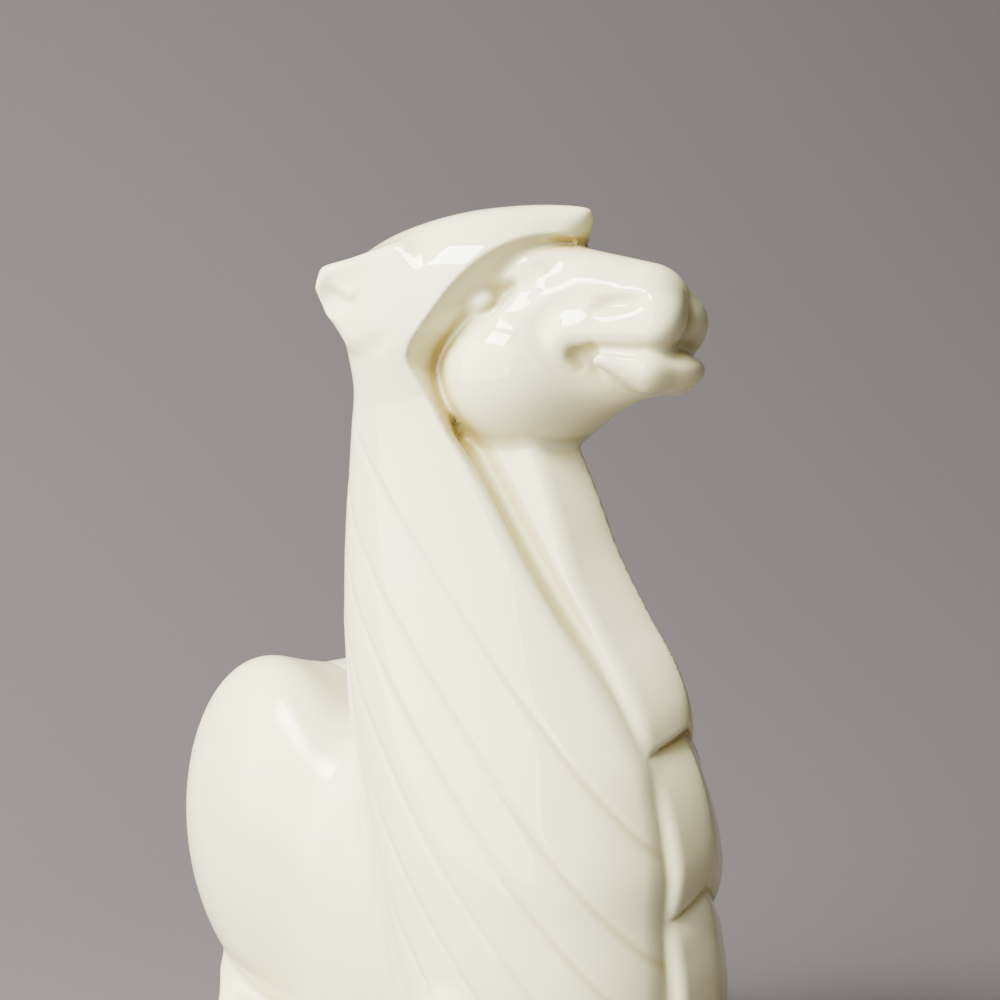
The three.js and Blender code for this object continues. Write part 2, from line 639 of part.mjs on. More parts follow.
const cutFace = opening(0);
const neckSolid = solid(neckNet(34));
const neck = neckSolid
  .intersect(belowSeam)
  .subtract(cutFace)
  .subtract(faceRoom)
  .subtract(neckHollow())
  .subtract(headDuct);

const throatTop = LOCKS[0].top - 8;
const throatFoot = LOCKS[2].bottom + 21.5;
const throatSpine = [[0, 2 - LOCK_DEEP, raised(throatTop)], [0, 4.5 - THROAT(throatFoot), raised(throatFoot)]];
const throatWhole = skin(throatForm, ...throatSpine, 18, 36, 4)
  .intersect(opening(JOINT))
  .subtract(faceRoom);

const hoodBounded = (x, y, z) => shared(mantleForm(x, y, z), NECK_SEAM - 6 - z, 2);
const hoodSpine = [[0, 12, NECK_SEAM + 11], [0, -6, NECK_SEAM + 16]];
const hood = skin(hoodBounded, ...hoodSpine, 46, 12, 10)
  .intersect(aboveSeam)
  .subtract(cutFace)
  .subtract(faceRoom);
const hoodRoom = skin(grown(hoodBounded, JOINT), ...hoodSpine, 46, 12, 10);

const [earSide, earBack, earMid] = earMiddle();
const earHeight = NECK_SEAM + (EAR.outline[1][1] + EAR.outline[4][1]) / 2;
const earSpine = [[earSide + EAR.splay * 4, earBack - EAR.half, earHeight + 0.8], [earSide, earMid, earHeight]];
const earLeft = skin(earForm, ...earSpine, 18, 3, 5).subtract(hoodRoom).subtract(neckSolid);

// Trunk and limbs

const neckSkin = skin(grown(neckPlain, JOINT + FLUTE_SWELL), [0, -8, -6], [0, 14, NECK_SEAM - 28], 36, 26, 4);
const neckRoom = turned(neckSkin.subtract(opening(JOINT)));
const trunkSpine = [[0, 14, 36], [0, 60, 40]];
const trunkSolid = skin(trunkForm, ...trunkSpine, 32, 12, 8);
const trunkRoom = skin(grown(trunkForm, JOINT), ...trunkSpine, 32, 12, 8);
const trunkHollow = skin(grown(trunkForm, -WALL), [0, 24, 30], [0, 60, 36], 20, 6, 5);
const trunk = trunkSolid.intersect(slabOfSpace(SOLE + JOINT, SPACE)).subtract(trunkHollow).subtract(neckRoom);
const tail = skin(tailForm, TAIL.dock.from, TAIL.tip.to, 16, 8, 4).subtract(trunkRoom);

// The sole: a slab under the trunk and chest, grown by a clearance where it is cut out of another casting.
function soleBody(clearance) {
  const chest = (x, y, z) => {
    const c = Math.cos(TURN);
    const s = Math.sin(TURN);
    const [nx, ny] = [x * c + y * s, y * c - x * s];
    return shared(neckPlain(nx, ny, z), -ny - THROAT(drawn(z)), 1);
  };
  const outline = (x, y) => blend(chest(x, y, SOLE), trunkForm(x, y, SOLE), 3) - clearance;
  const middle = new THREE.Vector3(0, 14, 0);
  const corners = [];
  for (let i = 0; i < 64; i++) {
    const a = (i / 64) * 2 * Math.PI;
    const point = toSkin(outline, middle, new THREE.Vector3(Math.cos(a), Math.sin(a), 0));
    corners.push(new THREE.Vector2(point.x, point.y));
  }
  const shape = new THREE.Shape(corners);
  if (clearance > 0) {
    const block = new THREE.ExtrudeGeometry(shape, { depth: SOLE + clearance + 2, bevelEnabled: false });
    return solid(block.translate(0, 0, -2));
  }
  shape.holes.push(new THREE.Path().absarc(0, VENT_BACK, VENT, 0, 2 * Math.PI, true));
  return solid(new THREE.ExtrudeGeometry(shape, { depth: SOLE, bevelEnabled: false, curveSegments: 12 }));
}

// A leg is skinned from its upper bone and from its shank, with its toes cut off level at the ground.
function legSolid(leg, clearance) {
  const form = (x, y, z) => legForm(leg, x, y, z) - clearance;
  const toe = leg.toes[0].to.map((v, i) => (v + leg.toes[1].to[i]) / 2);
  const heel = leg.toes[0].from.map((v, i) => (v + leg.toes[1].from[i]) / 2);
  const instep = heel.map((v, i) => v + (toe[i] - v) * 0.5);
  const lower = skin(form, leg.shank.from, instep, 18, 9, 4);
  const upper = skin(form, leg.upper.from, leg.upper.to, 14, 3, 3);
  return lower.add(upper);
}

const sole = soleBody(0);
const soleRoom = soleBody(JOINT);
const aboveGround = slabOfSpace(0, SPACE);

const hindLeft = legSolid(HIND_LEG, 0).intersect(aboveGround).subtract(trunkRoom).subtract(soleRoom);
const hindRight = mirrored(hindLeft);
const hindRoom = legSolid(HIND_LEG, JOINT);

const foreSkin = legSolid(FORELEG, 0).intersect(aboveGround);
const foreLeft = turned(foreSkin).subtract(neckRoom).subtract(trunkRoom).subtract(soleRoom).subtract(hindRoom);
const foreRight = turned(mirrored(foreSkin)).subtract(neckRoom).subtract(trunkRoom).subtract(soleRoom);
const foreRoom = legSolid(FORELEG, JOINT);
const throat = throatWhole.subtract(foreRoom).subtract(mirrored(foreRoom));

const figure = new THREE.Group();
const turnedGroup = new THREE.Group();
turnedGroup.rotation.z = TURN;
turnedGroup.add(part("face_casting", face, GLAZE));
turnedGroup.add(part("hood_casting", hood, GLAZE));
turnedGroup.add(part("ear_left", earLeft, GLAZE));
turnedGroup.add(part("ear_right", mirrored(earLeft), GLAZE));
turnedGroup.add(part("neck_casting", neck, GLAZE_WARM));
turnedGroup.add(part("throat_locks", throat, GLAZE_WARM));
figure.add(turnedGroup);
figure.add(part("trunk_casting", trunk, GLAZE));
figure.add(part("tail", tail, GLAZE));
figure.add(part("hind_leg_left", hindLeft, GLAZE));
figure.add(part("hind_leg_right", hindRight, GLAZE));
figure.add(part("foreleg_left", foreLeft, GLAZE));
figure.add(part("foreleg_right", foreRight, GLAZE));
figure.add(part("sole_slab", sole, BISQUE));

// The figure is centred over the origin.
const box = new THREE.Box3().setFromObject(figure, true);
figure.position.set(-(box.min.x + box.max.x) / 2, -(box.min.y + box.max.y) / 2, -box.min.z);
const group = new THREE.Group();
group.add(figure);

export default group;
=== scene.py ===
"""A porcelain llama figurine in ivory glaze, lying with folded legs, its head turned to its left.

The figure is sculpted whole, as the potter's model is, and then parted into its castings.
Forms are given in millimetres as forward reach, sideways reach and height; meshes are in metres.
"""

import logging
import math
from dataclasses import dataclass, field
from enum import Enum
from typing import Any, Callable, Iterable, Sequence

import bmesh
import bpy
import numpy as np
from mathutils import Matrix, Vector


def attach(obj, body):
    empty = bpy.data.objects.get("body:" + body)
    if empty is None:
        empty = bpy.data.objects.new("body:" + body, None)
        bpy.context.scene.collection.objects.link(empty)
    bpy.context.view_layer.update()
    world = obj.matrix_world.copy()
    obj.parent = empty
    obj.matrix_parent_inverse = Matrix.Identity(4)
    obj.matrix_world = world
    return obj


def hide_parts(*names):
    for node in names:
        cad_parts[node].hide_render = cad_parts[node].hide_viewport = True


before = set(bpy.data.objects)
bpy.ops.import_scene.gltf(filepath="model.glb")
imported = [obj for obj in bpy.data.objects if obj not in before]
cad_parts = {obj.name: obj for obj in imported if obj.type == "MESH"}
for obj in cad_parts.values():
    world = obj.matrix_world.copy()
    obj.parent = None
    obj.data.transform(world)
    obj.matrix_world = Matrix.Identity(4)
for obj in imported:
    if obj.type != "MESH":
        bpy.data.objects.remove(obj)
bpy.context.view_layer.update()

LOG = logging.getLogger("llama")
MM = 0.001
CENTRING = (-1.339, -26.145)  # sideways and backward move that stands the figure over the origin
TURN = math.radians(27.0)  # head, neck and chest, turned to the animal's left
NECK_SEAM = 128.0  # height of the joint between neck and hood
SOLE = 4.0  # thickness of the slab that closes the underside
STEP = 0.05  # spacing of the readings that a slope is taken from
TINY = 1e-9  # keeps a division from meeting nought
FAR = 1e3  # depth that stands for nothing near

Array = np.ndarray
Triple = tuple[float, float, float]


# Forms


def blend(a: Array, b: Array, fillet: float) -> Array:
    """Joins two depths with a fillet.

    Args:
        a: Depth outside the first form, negative inside it.
        b: Depth outside the second form.
        fillet: Breadth of the fillet.

    Returns:
        Depth outside the two forms together.
    """
    h = np.clip(0.5 + 0.5 * (b - a) / fillet, 0, 1)
    return b + (a - b) * h - fillet * h * (1 - h)


def shared(a: Array, b: Array, rounding: float | Array) -> Array:
    """Depth outside what two forms share, with a rounded edge."""
    return -blend(-a, -b, rounding)


def carved(a: Array, tool: Array, rounding: float | Array) -> Array:
    """Depth outside a form that a second form is carved out of."""
    return shared(a, -tool, rounding)


def smooth_step(t: Array) -> Array:
    """A soft step from 0 to 1."""
    v = np.clip(t, 0, 1)
    return v * v * (3 - 2 * v)


def folded(points: Array) -> Array:
    """Points with both sides of the animal laid onto one."""
    return np.stack([points[:, 0], np.abs(points[:, 1]), points[:, 2]], -1)


def swung(points: Array, angle: float) -> Array:
    """Turns points about the upright axis.

    Args:
        points: Points to turn.
        angle: Turn from forwards to sideways, in radians.

    Returns:
        The turned points.
    """
    c, n = math.cos(angle), math.sin(angle)
    f, s = points[:, 0], points[:, 1]
    return np.stack([f * c - s * n, f * n + s * c, points[:, 2]], -1)


def turned(points: Array) -> Array:
    """Points of the trunk's frame in the frame of the turned head and neck."""
    return swung(points, TURN)


def unturned(points: Array) -> Array:
    """Points of the turned head and neck in the trunk's frame."""
    return swung(points, -TURN)


def tilted(points: Array, degrees: float) -> Array:
    """Tilts points about the sideways axis.

    Args:
        points: Points to tilt.
        degrees: Lift of what lies forward.

    Returns:
        The tilted points.
    """
    a = math.radians(degrees)
    f = points[:, 0] * math.cos(a) - points[:, 2] * math.sin(a)
    u = points[:, 0] * math.sin(a) + points[:, 2] * math.cos(a)
    return np.stack([f, points[:, 1], u], -1)


def to_metres(points: Array) -> Array:
    """Points of the figure's frame, in millimetres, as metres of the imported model."""
    return np.stack([CENTRING[0] - points[:, 1], CENTRING[1] - points[:, 0], points[:, 2]], -1) * MM


def from_metres(places: Array) -> Array:
    """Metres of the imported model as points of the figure's frame."""
    scaled = places / MM
    return np.stack([CENTRING[1] - scaled[:, 1], CENTRING[0] - scaled[:, 0], scaled[:, 2]], -1)


class Track:
    """A smooth curve through stations, level beyond its ends."""

    def __init__(self, *stations: tuple[float, float]) -> None:
        """Keeps the stations and works out a slope at each.

        Args:
            stations: Pairs of place and value, in order of place.
        """
        self.at = np.array([s[0] for s in stations], float)
        self.value = np.array([s[1] for s in stations], float)
        rise = np.diff(self.value) / np.diff(self.at)
        before, after = np.diff(self.at)[:-1], np.diff(self.at)[1:]
        middle = (rise[:-1] * after + rise[1:] * before) / (before + after)
        middle[rise[:-1] * rise[1:] <= 0] = 0
        self.slope = np.concatenate([rise[:1], middle, rise[-1:]])

    def __call__(self, place: Array) -> Array:
        """Reads the curve.

        Args:
            place: Places along it.

        Returns:
            The curve's values.
        """
        t = np.clip(place, self.at[0], self.at[-1])
        i = np.clip(np.searchsorted(self.at, t) - 1, 0, len(self.at) - 2)
        h = self.at[i + 1] - self.at[i]
        v = (t - self.at[i]) / h
        w = 1 - v
        return (
            w * w * (1 + 2 * v) * self.value[i]
            + v * w * w * h * self.slope[i]
            + v * v * (3 - 2 * v) * self.value[i + 1]
            - v * v * w * h * self.slope[i + 1]
        )

    def lean(self, place: Array) -> Array:
        """Turns a level distance into one across the curve.

        Args:
            place: Places along the curve.

        Returns:
            The cosine of its slope there.
        """
        grade = (self(place + STEP) - self(place - STEP)) / (2 * STEP)
        return 1 / np.sqrt(1 + grade * grade)


class Clay:
    """Rough lumps of clay in one mesh, before they are worked."""

    def __init__(self, to_figure: Callable[[Array], Array] | None = None) -> None:
        """Starts with no clay.

        Args:
            to_figure: Carries points of the form's frame into the figure's frame.
        """
        self.bm = bmesh.new()
        self.to_figure = to_figure or (lambda points: points)

    def _placed(self, verts: Iterable[Any], points: Array) -> None:
        """Puts vertices at points of the form's frame."""
        for vert, point in zip(verts, to_metres(self.to_figure(points))):
            vert.co = point

    def ball(self, centre: Triple, radii: Triple, tilt: float = 0.0) -> None:
        """Adds an egg of clay.

        Args:
            centre: Middle of the egg.
            radii: Its half sizes.
            tilt: Lift of its front end, in degrees.
        """
        verts = bmesh.ops.create_icosphere(self.bm, subdivisions=3, radius=1.0)["verts"]
        shape = np.array([v.co for v in verts]) * np.array(radii)
        self._placed(verts, tilted(shape, tilt) + np.array(centre))

    def rod(self, start: Triple, end: Triple, radii: tuple[float, float]) -> None:
        """Adds a tapering rod of clay with round ends.

        Args:
            start: Middle of its first end.
            end: Middle of its second end.
            radii: Radius at each end.
        """
        for centre, radius in ((start, radii[0]), (end, radii[1])):
            self.ball(centre, (radius, radius, radius))
        axis = Vector(end) - Vector(start)
        turn = axis.to_track_quat("Z", "Y").to_matrix().to_4x4()
        verts = bmesh.ops.create_cone(
            self.bm,
            cap_ends=True,
            segments=24,
            radius1=radii[0],
            radius2=radii[1],
            depth=axis.length,
            matrix=Matrix.Translation((Vector(start) + Vector(end)) / 2) @ turn,
        )["verts"]
        self._placed(verts, np.array([v.co for v in verts]))

    def loft(self, sections: Callable[[Array, Array], Array], around: int, along: int) -> None:
        """Adds a tube of clay over a grid, with its ends filled.

        Args:
            sections: Gives points for turns round the tube and places along it, both from 0 to 1.
            around: Number of faces round the tube.
            along: Number of faces along it.
        """
        made = bmesh.ops.create_grid(
            self.bm, x_segments=around, y_segments=along, size=0.5
        )["verts"]
        unit = np.array([v.co for v in made]) + 0.5
        self._placed(made, sections(unit[:, 0], unit[:, 1]))
        bmesh.ops.remove_doubles(self.bm, verts=made, dist=1e-7)
        open_edges = [e for e in self.bm.edges if e.is_boundary]
        bmesh.ops.holes_fill(self.bm, edges=open_edges, sides=0)


@dataclass(frozen=True)
class Egg:
    """An ellipsoid, with the lift of its front end in degrees."""

    at: Triple
    size: Triple
    tilt: float = 0.0

    def depth(self, p: Array) -> Array:
        """Measures points against the egg.

        Args:
            p: Points of the egg's frame.

        Returns:
            Depth outside the egg, negative inside it.
        """
        q = p - np.array(self.at)
        if self.tilt:
            q = tilted(q, -self.tilt)
        r = np.array(self.size)
        near = np.sqrt(((q / r) ** 2).sum(-1)) + TINY
        steep = np.sqrt(((q / r**2) ** 2).sum(-1)) + TINY
        return near * (near - 1) / steep

    def lay(self, clay: Clay, sides: Sequence[int] = (1, -1)) -> None:
        """Lays rough clay for the egg on each side."""
        for side in sides if self.at[1] else sides[:1]:
            clay.ball((self.at[0], self.at[1] * side, self.at[2]), self.size, self.tilt)


@dataclass(frozen=True)
class Rod:
    """Two balls and the cone that touches both."""

    start: Triple
    end: Triple
    radii: tuple[float, float]

    def depth(self, p: Array) -> Array:
        """Measures points against the rod.

        Args:
            p: Points of the rod's frame.

        Returns:
            Depth outside the rod, negative inside it.
        """
        a = np.array(self.start)
        axis = np.array(self.end) - a
        length = math.sqrt(axis @ axis)
        taper = (self.radii[0] - self.radii[1]) / length
        q = p - a
        along = q @ (axis / length)
        out = np.sqrt(np.maximum((q * q).sum(-1) - along * along, 0))
        foot = np.clip(along - out * taper / math.sqrt(1 - taper * taper), 0, length)
        return np.hypot(out, along - foot) - (self.radii[0] - taper * foot)

    def lay(self, clay: Clay, sides: Sequence[int] = (1, -1)) -> None:
        """Lays rough clay for the rod.

        Args:
            clay: Where it is laid.
            sides: 1 and -1 for the two sides of the animal.
        """
        for side in sides if self.start[1] or self.end[1] else sides[:1]:
            ends = [(e[0], e[1] * side, e[2]) for e in (self.start, self.end)]
            clay.rod(ends[0], ends[1], self.radii)


def oval(across: Array, up: Array, half_width: Array, half_height: Array, power: float) -> Array:
    """Depth outside a squared oval.

    Args:
        across: Reach from its middle, one way.
        up: Reach the other way.
        half_width: Half size the first way.
        half_height: Half size the second way.
        power: 2 for an ellipse, more for a squarer one.

    Returns:
        Depth outside the oval, near its edge.
    """
    r = (np.abs(across / half_width) ** power + np.abs(up / half_height) ** power) ** (1 / power)
    return (r - 1) * np.minimum(half_width, half_height)


def oval_point(turn: Array, power: float) -> tuple[Array, Array]:
    """Walks round a squared oval of half size one.

    Args:
        turn: How far round, from 0 to 1.
        power: 2 for an ellipse, more for a squarer one.

    Returns:
        Reach one way and the other.
    """
    c, s = np.cos(turn * 2 * math.pi), np.sin(turn * 2 * math.pi)
    r = (np.abs(c) ** power + np.abs(s) ** power) ** (-1 / power)
    return c * r, s * r


# The mantle's edge in side view: before the throat line and under the brow line lies the face
THROAT = Track(
    (0, 22.0), (8, 26.5), (16, 31.5), (24, 34.2), (34, 34.8), (42.6, 34.4), (49.6, 34.8),
    (54.7, 34.3), (60, 33.4), (66.5, 31.8), (69.4, 30.4), (76.7, 26.3), (84.1, 21.9), (95.4, 15.4),
    (103.1, 10.9), (109.4, 7.2), (114.5, 4.0), (118.3, 0.9), (123.2, -3.2), (126.3, -5.7),
    (130, -8.4), (133.2, -9.6), (140, -11.0),
)  # fmt: skip
BROW = Track(
    (-20, 124), (-12, 128.6), (-8.6, 131.9), (-4.3, 136.9), (-0.2, 141.9), (2.6, 144.8),
    (5.0, 146.7), (8.1, 148.4), (11.0, 149.3), (13.3, 149.4), (15.1, 148.8), (17.0, 147.2),
    (20, 144.5), (60, 144.0),
)  # fmt: skip


@dataclass
class Mantle:
    """Neck and hood: one flowing coat of wool that leaves the face and the throat open."""

    nape: Track = Track(
        (0, -12), (12, -13.8), (22, -15.5), (34, -17.5), (45, -20.4), (55, -23.2), (64, -25.4),
        (72.5, -27.1), (81, -28.0), (90, -28.6), (103, -28.5), (112, -27.8), (120, -27.0),
        (129, -25.6), (136, -25.0),
    )  # fmt: skip
    half: Track = Track(
        (0, 13.0), (8, 15.0), (18, 19.5), (30, 22.0), (45, 22.3), (60, 20.8), (75, 18.6),
        (90, 16.4), (100, 15.0), (112, 13.9), (122, 13.6), (132, 13.8), (140, 14.0),
    )  # fmt: skip
    run_on: Track = Track(  # how far the full neck runs on in front of the throat line
        (0, 2.5), (50, 2.5), (65, 3.4), (75, 4.8), (95, 8.0), (110, 9.0), (130, 10.0),
    )  # fmt: skip
    neck_top: float = 130.0  # above it the neck's front stands still
    neck_power: float = 2.1
    flutes: tuple[float, ...] = (6.0, 17.5, 29.5, 41.0, 52.5, 64.8, 76.0, 92.0)
    flute_rise: float = 1.15  # rise of a crease for each millimetre it runs back
    flute_depth: float = 0.15
    flute_swell: float = 0.09
    flute_breadth: float = 0.7
    flute_end: float = 172.0  # degrees from the throat where the creases run out
    flute_fade: float = 60.0  # degrees that they take to run out
    flute_top: float = 124.0  # height where they have run out under the hood
    flute_top_fade: float = 10.0
    flute_foot: float = 12.0  # height where they begin over the legs
    flute_foot_fade: float = 14.0
    flute_across: float = 0.656  # a level's distance, measured square to the creases
    crown: Track = Track(
        (-31, 140), (-29, 144.2), (-25.6, 147.8), (-21.9, 150.2), (-17.4, 152.0), (-11.6, 153.5),
        (-3.8, 154.7), (3.8, 155.0), (11.2, 154.7), (15.0, 154.2), (18.4, 153.4),
    )  # fmt: skip
    crown_half: Track = Track(
        (-31, 5.0), (-28, 8.2), (-24, 11.4), (-20, 13.2), (-16, 14.3), (-8, 15.2), (0, 14.8),
        (6, 13.0), (10, 10.6), (13.5, 7.3), (16.5, 4.4), (19.0, 2.4),
    )  # fmt: skip
    crown_middle: float = 134.8
    crown_power: float = 2.3
    hood_drop: float = 60.0  # half height of the hood's section under its middle
    forelock: float = 19.3
    forelock_top: float = 153.4
    forelock_cut: float = 0.74  # how fast the tip falls back under its top
    tip_flare: float = 0.12  # how far the tip falls back for each millimetre sideways
    tip_lean: float = 0.8  # turns a forward distance into one across the tip
    tip_rounding: float = 2.6
    hood_back: float = -25.4
    back_lean: float = 0.14  # how far the hood runs back for each millimetre up
    back_rounding: float = 7.0
    hood_from: float = 121.0  # height where the neck begins to flow into the hood
    hood_flow: float = 14.0  # height that it takes to
    crisp_from: float = 96.0  # height where the opening's soft edge begins to turn crisp
    crisp_over: float = 22.0  # height that it takes to
    edge_rounding: float = 2.2  # where the edge is soft
    edge_crisping: float = 1.8  # what the rounding loses where the edge is crisp
    # how fast the opening's rim steps forward at the cheek, and down at the brow, going in
    cheek_reveal: Track = Track((106, 0.0), (116, 0.08), (126, 0.25), (134, 0.38))
    brow_reveal: Track = Track((-8, 0.36), (-1, 0.66), (5, 1.10), (12, 1.20))
    setback: Track = Track(
        (60, 0.0), (72, 0.0), (80, 0.3), (90, 1.8), (100, 2.9), (107, 3.4), (116, 4.0),
        (120.6, 3.1), (125, 1.9), (129, 1.2), (133, 0.3), (136, 0.0),
    )  # fmt: skip

    def reach(self, u: Array) -> tuple[Array, Array]:
        """How far back and how far forward the full neck reaches at heights."""
        return self.nape(u), THROAT(np.minimum(u, self.neck_top)) + self.run_on(u)

    def flute_level(self, q: Array) -> tuple[Array, Array]:
        """Follows the winding wool.

        Args:
            q: Points of the head's frame.

        Returns:
            The wool's level at the points, and how strongly it is fluted there.
        """
        f, s, u = q[:, 0], np.abs(q[:, 1]), q[:, 2]
        back, front = self.reach(u)
        middle, long = (back + front) / 2, (front - back) / 2
        angle = np.arctan2(s / self.half(u), (f - middle) / long)
        run = np.where(angle < np.pi / 2, f, middle - long * (angle - np.pi / 2))
        behind = np.clip((self.flute_end - np.degrees(angle)) / self.flute_fade, 0, 1)
        below_hood = np.clip((self.flute_top - u) / self.flute_top_fade, 0, 1)
        above_legs = np.clip((u - self.flute_foot) / self.flute_foot_fade, 0, 1)
        return u + self.flute_rise * run, behind * below_hood * above_legs

    def neck(self, q: Array) -> Array:
        """Measures points against the full neck, with its flutes.

        Args:
            q: Points of the head's frame.

        Returns:
            Depth outside the neck.
        """
        f, s, u = q[:, 0], np.abs(q[:, 1]), q[:, 2]
        back, front = self.reach(u)
        plain = oval(f - (back + front) / 2, s, (front - back) / 2, self.half(u), self.neck_power)
        level, fade = self.flute_level(q)
        marks = np.array(self.flutes)
        near = np.min(np.abs(level[:, None] - marks[None]), axis=1) * self.flute_across
        i = np.clip(np.searchsorted(marks, level), 1, len(marks) - 1)
        t = np.clip((level - marks[i - 1]) / (marks[i] - marks[i - 1]), 0, 1)
        crease = np.exp(-((near / self.flute_breadth) ** 2))
        swell = 4 * t * (1 - t)
        return plain + fade * (self.flute_depth * crease - self.flute_swell * swell)

    def hood(self, q: Array) -> Array:
        """Measures points against the hood with its forelock.

        Args:
            q: Points of the head's frame.

        Returns:
            Depth outside the hood.
        """
        f, s, u = q[:, 0], np.abs(q[:, 1]), q[:, 2]
        rise = u - self.crown_middle
        high = np.where(rise > 0, self.crown(f) - self.crown_middle, self.hood_drop)
        shell = oval(s, rise, self.crown_half(f), high, self.crown_power)
        undercut = self.forelock_cut * np.maximum(self.forelock_top - u, 0)
        tip = (f - self.forelock + undercut + self.tip_flare * s) * self.tip_lean
        behind = self.hood_back - self.back_lean * (u - NECK_SEAM) - f
        return shared(shared(shell, tip, self.tip_rounding), behind, self.back_rounding)

    def whole(self, q: Array) -> Array:
        """Depth outside neck and hood, which flow into each other, before the opening is cut."""
        w = smooth_step((q[:, 2] - self.hood_from) / self.hood_flow)
        return self.neck(q) * (1 - w) + self.hood(q) * w

    def edge(self, u: Array) -> Array:
        """How far forward the wool reaches beside the throat, at heights."""
        return THROAT(u) - self.setback(u)

    def depth(self, q: Array, ears: "Ears") -> Array:
        """Measures points against neck, hood and ears, with the opening cut.

        Args:
            q: Points of the head's frame.
            ears: The ears, which are luted on before the opening is cut.

        Returns:
            Depth outside them together.
        """
        f, u = q[:, 0], q[:, 2]
        whole = self.whole(q)
        inward = np.clip(-whole, 0, 8)
        side = (self.edge(u) - f) * THROAT.lean(u) + self.cheek_reveal(u) * inward
        over = (u - BROW(f)) * BROW.lean(f) + self.brow_reveal(f) * inward
        hole = shared(side, over, rounding=2.5)
        crisp = smooth_step((u - self.crisp_from) / self.crisp_over)
        rounding = self.edge_rounding - self.edge_crisping * crisp
        return carved(blend(whole, ears.depth(q), fillet=3.0), hole, rounding)

    def lay(self, clay: Clay) -> None:
        """Lays rough clay for the neck and the hood.

        Args:
            clay: Where it is laid.
        """

        def neck_ring(turn: Array, along: Array) -> Array:
            """Points round the neck.

            Args:
                turn: How far round, from 0 to 1.
                along: How far along it, from 0 to 1.

            Returns:
                The points, in the head's frame.
            """
            u = along * (NECK_SEAM + 2)
            back, front = self.nape(u), THROAT(u)
            c, s = oval_point(turn, self.neck_power)
            return np.stack([(back + front) / 2 + (front - back) / 2 * c, self.half(u) * s, u], -1)

        def hood_ring(turn: Array, along: Array) -> Array:
            """Points round the hood.

            Args:
                turn: How far round, from 0 to 1.
                along: How far along it, from 0 to 1.

            Returns:
                The points, in the head's frame.
            """
            f = -26.0 + along * (self.forelock + 25.0)
            low = np.where(f < -9.0, 118.0, BROW(f) + 0.5)
            c, s = oval_point(turn, self.crown_power)
            height = (self.crown(f) + low) / 2 + (self.crown(f) - low) / 2 * s
            return np.stack([f, self.crown_half(f) * c, height], -1)

        clay.loft(neck_ring, 40, 34)
        clay.loft(hood_ring, 36, 30)


@dataclass
class Ears:
    """Two ears laid back against the hood, each with a shallow dish."""

    outline: tuple[tuple[float, float], ...] = (
        (-25.0, 144.1), (-25.6, 142.3), (-23.9, 138.7), (-19.7, 134.3), (-10.0, 140.0),
        (-12.0, 146.6),
    )  # fmt: skip
    rounding: float = 2.0
    half: float = 2.9  # half thickness
    out: float = 9.2  # how far out the ears' middle stands over the neck's axis
    splay: float = 0.10  # how much further out they stand for each millimetre back
    dish: Egg = Egg((-22.9, 16.2, 140.4), (4.0, 2.7, 3.5))
    ridge: Rod = Rod((-24.6, 12.6, 143.6), (-20.0, 13.6, 140.9), (1.2, 0.9))

    def depth(self, q: Array) -> Array:
        """Measures points against the ears.

        Args:
            q: Points of the head's frame.

        Returns:
            Depth outside the ears.
        """
        p = folded(q)
        f, s, u = p.T
        edge = np.full(f.shape, FAR)
        inside = np.zeros(f.shape, bool)
        for (ax, ay), (bx, by) in zip(self.outline, self.outline[1:] + self.outline[:1]):
            ex, ey = bx - ax, by - ay
            t = np.clip(((f - ax) * ex + (u - ay) * ey) / (ex * ex + ey * ey), 0, 1)
            edge = np.minimum(edge, np.hypot(f - ax - ex * t, u - ay - ey * t))
            inside ^= ((ay > u) != (by > u)) & (f < ex * (u - ay) / (ey or TINY) + ax)
        blade = np.where(inside, -edge, edge) - self.rounding
        slab = np.abs(s - (self.out - self.splay * f)) - self.half
        cupped = carved(shared(blade, slab, rounding=2.2), self.dish.depth(p), rounding=1.4)
        return blend(cupped, self.ridge.depth(p), fillet=1.2)

    def lay(self, clay: Clay, sides: Sequence[int] = (1, -1)) -> None:
        """Lays rough clay for the ears.

        Args:
            clay: Where it is laid.
            sides: 1 and -1 for the two sides of the animal.
        """
        for start, end in (
            ((-24.2, 11.8, 142.8), (-12.5, 10.6, 144.0)),
            ((-23.0, 11.7, 140.0), (-13.0, 10.8, 141.0)),
            ((-22.6, 11.6, 139.0), (-18.6, 11.2, 135.0)),
        ):
            Rod(start, end, (2.3, 2.3)).lay(clay, sides)


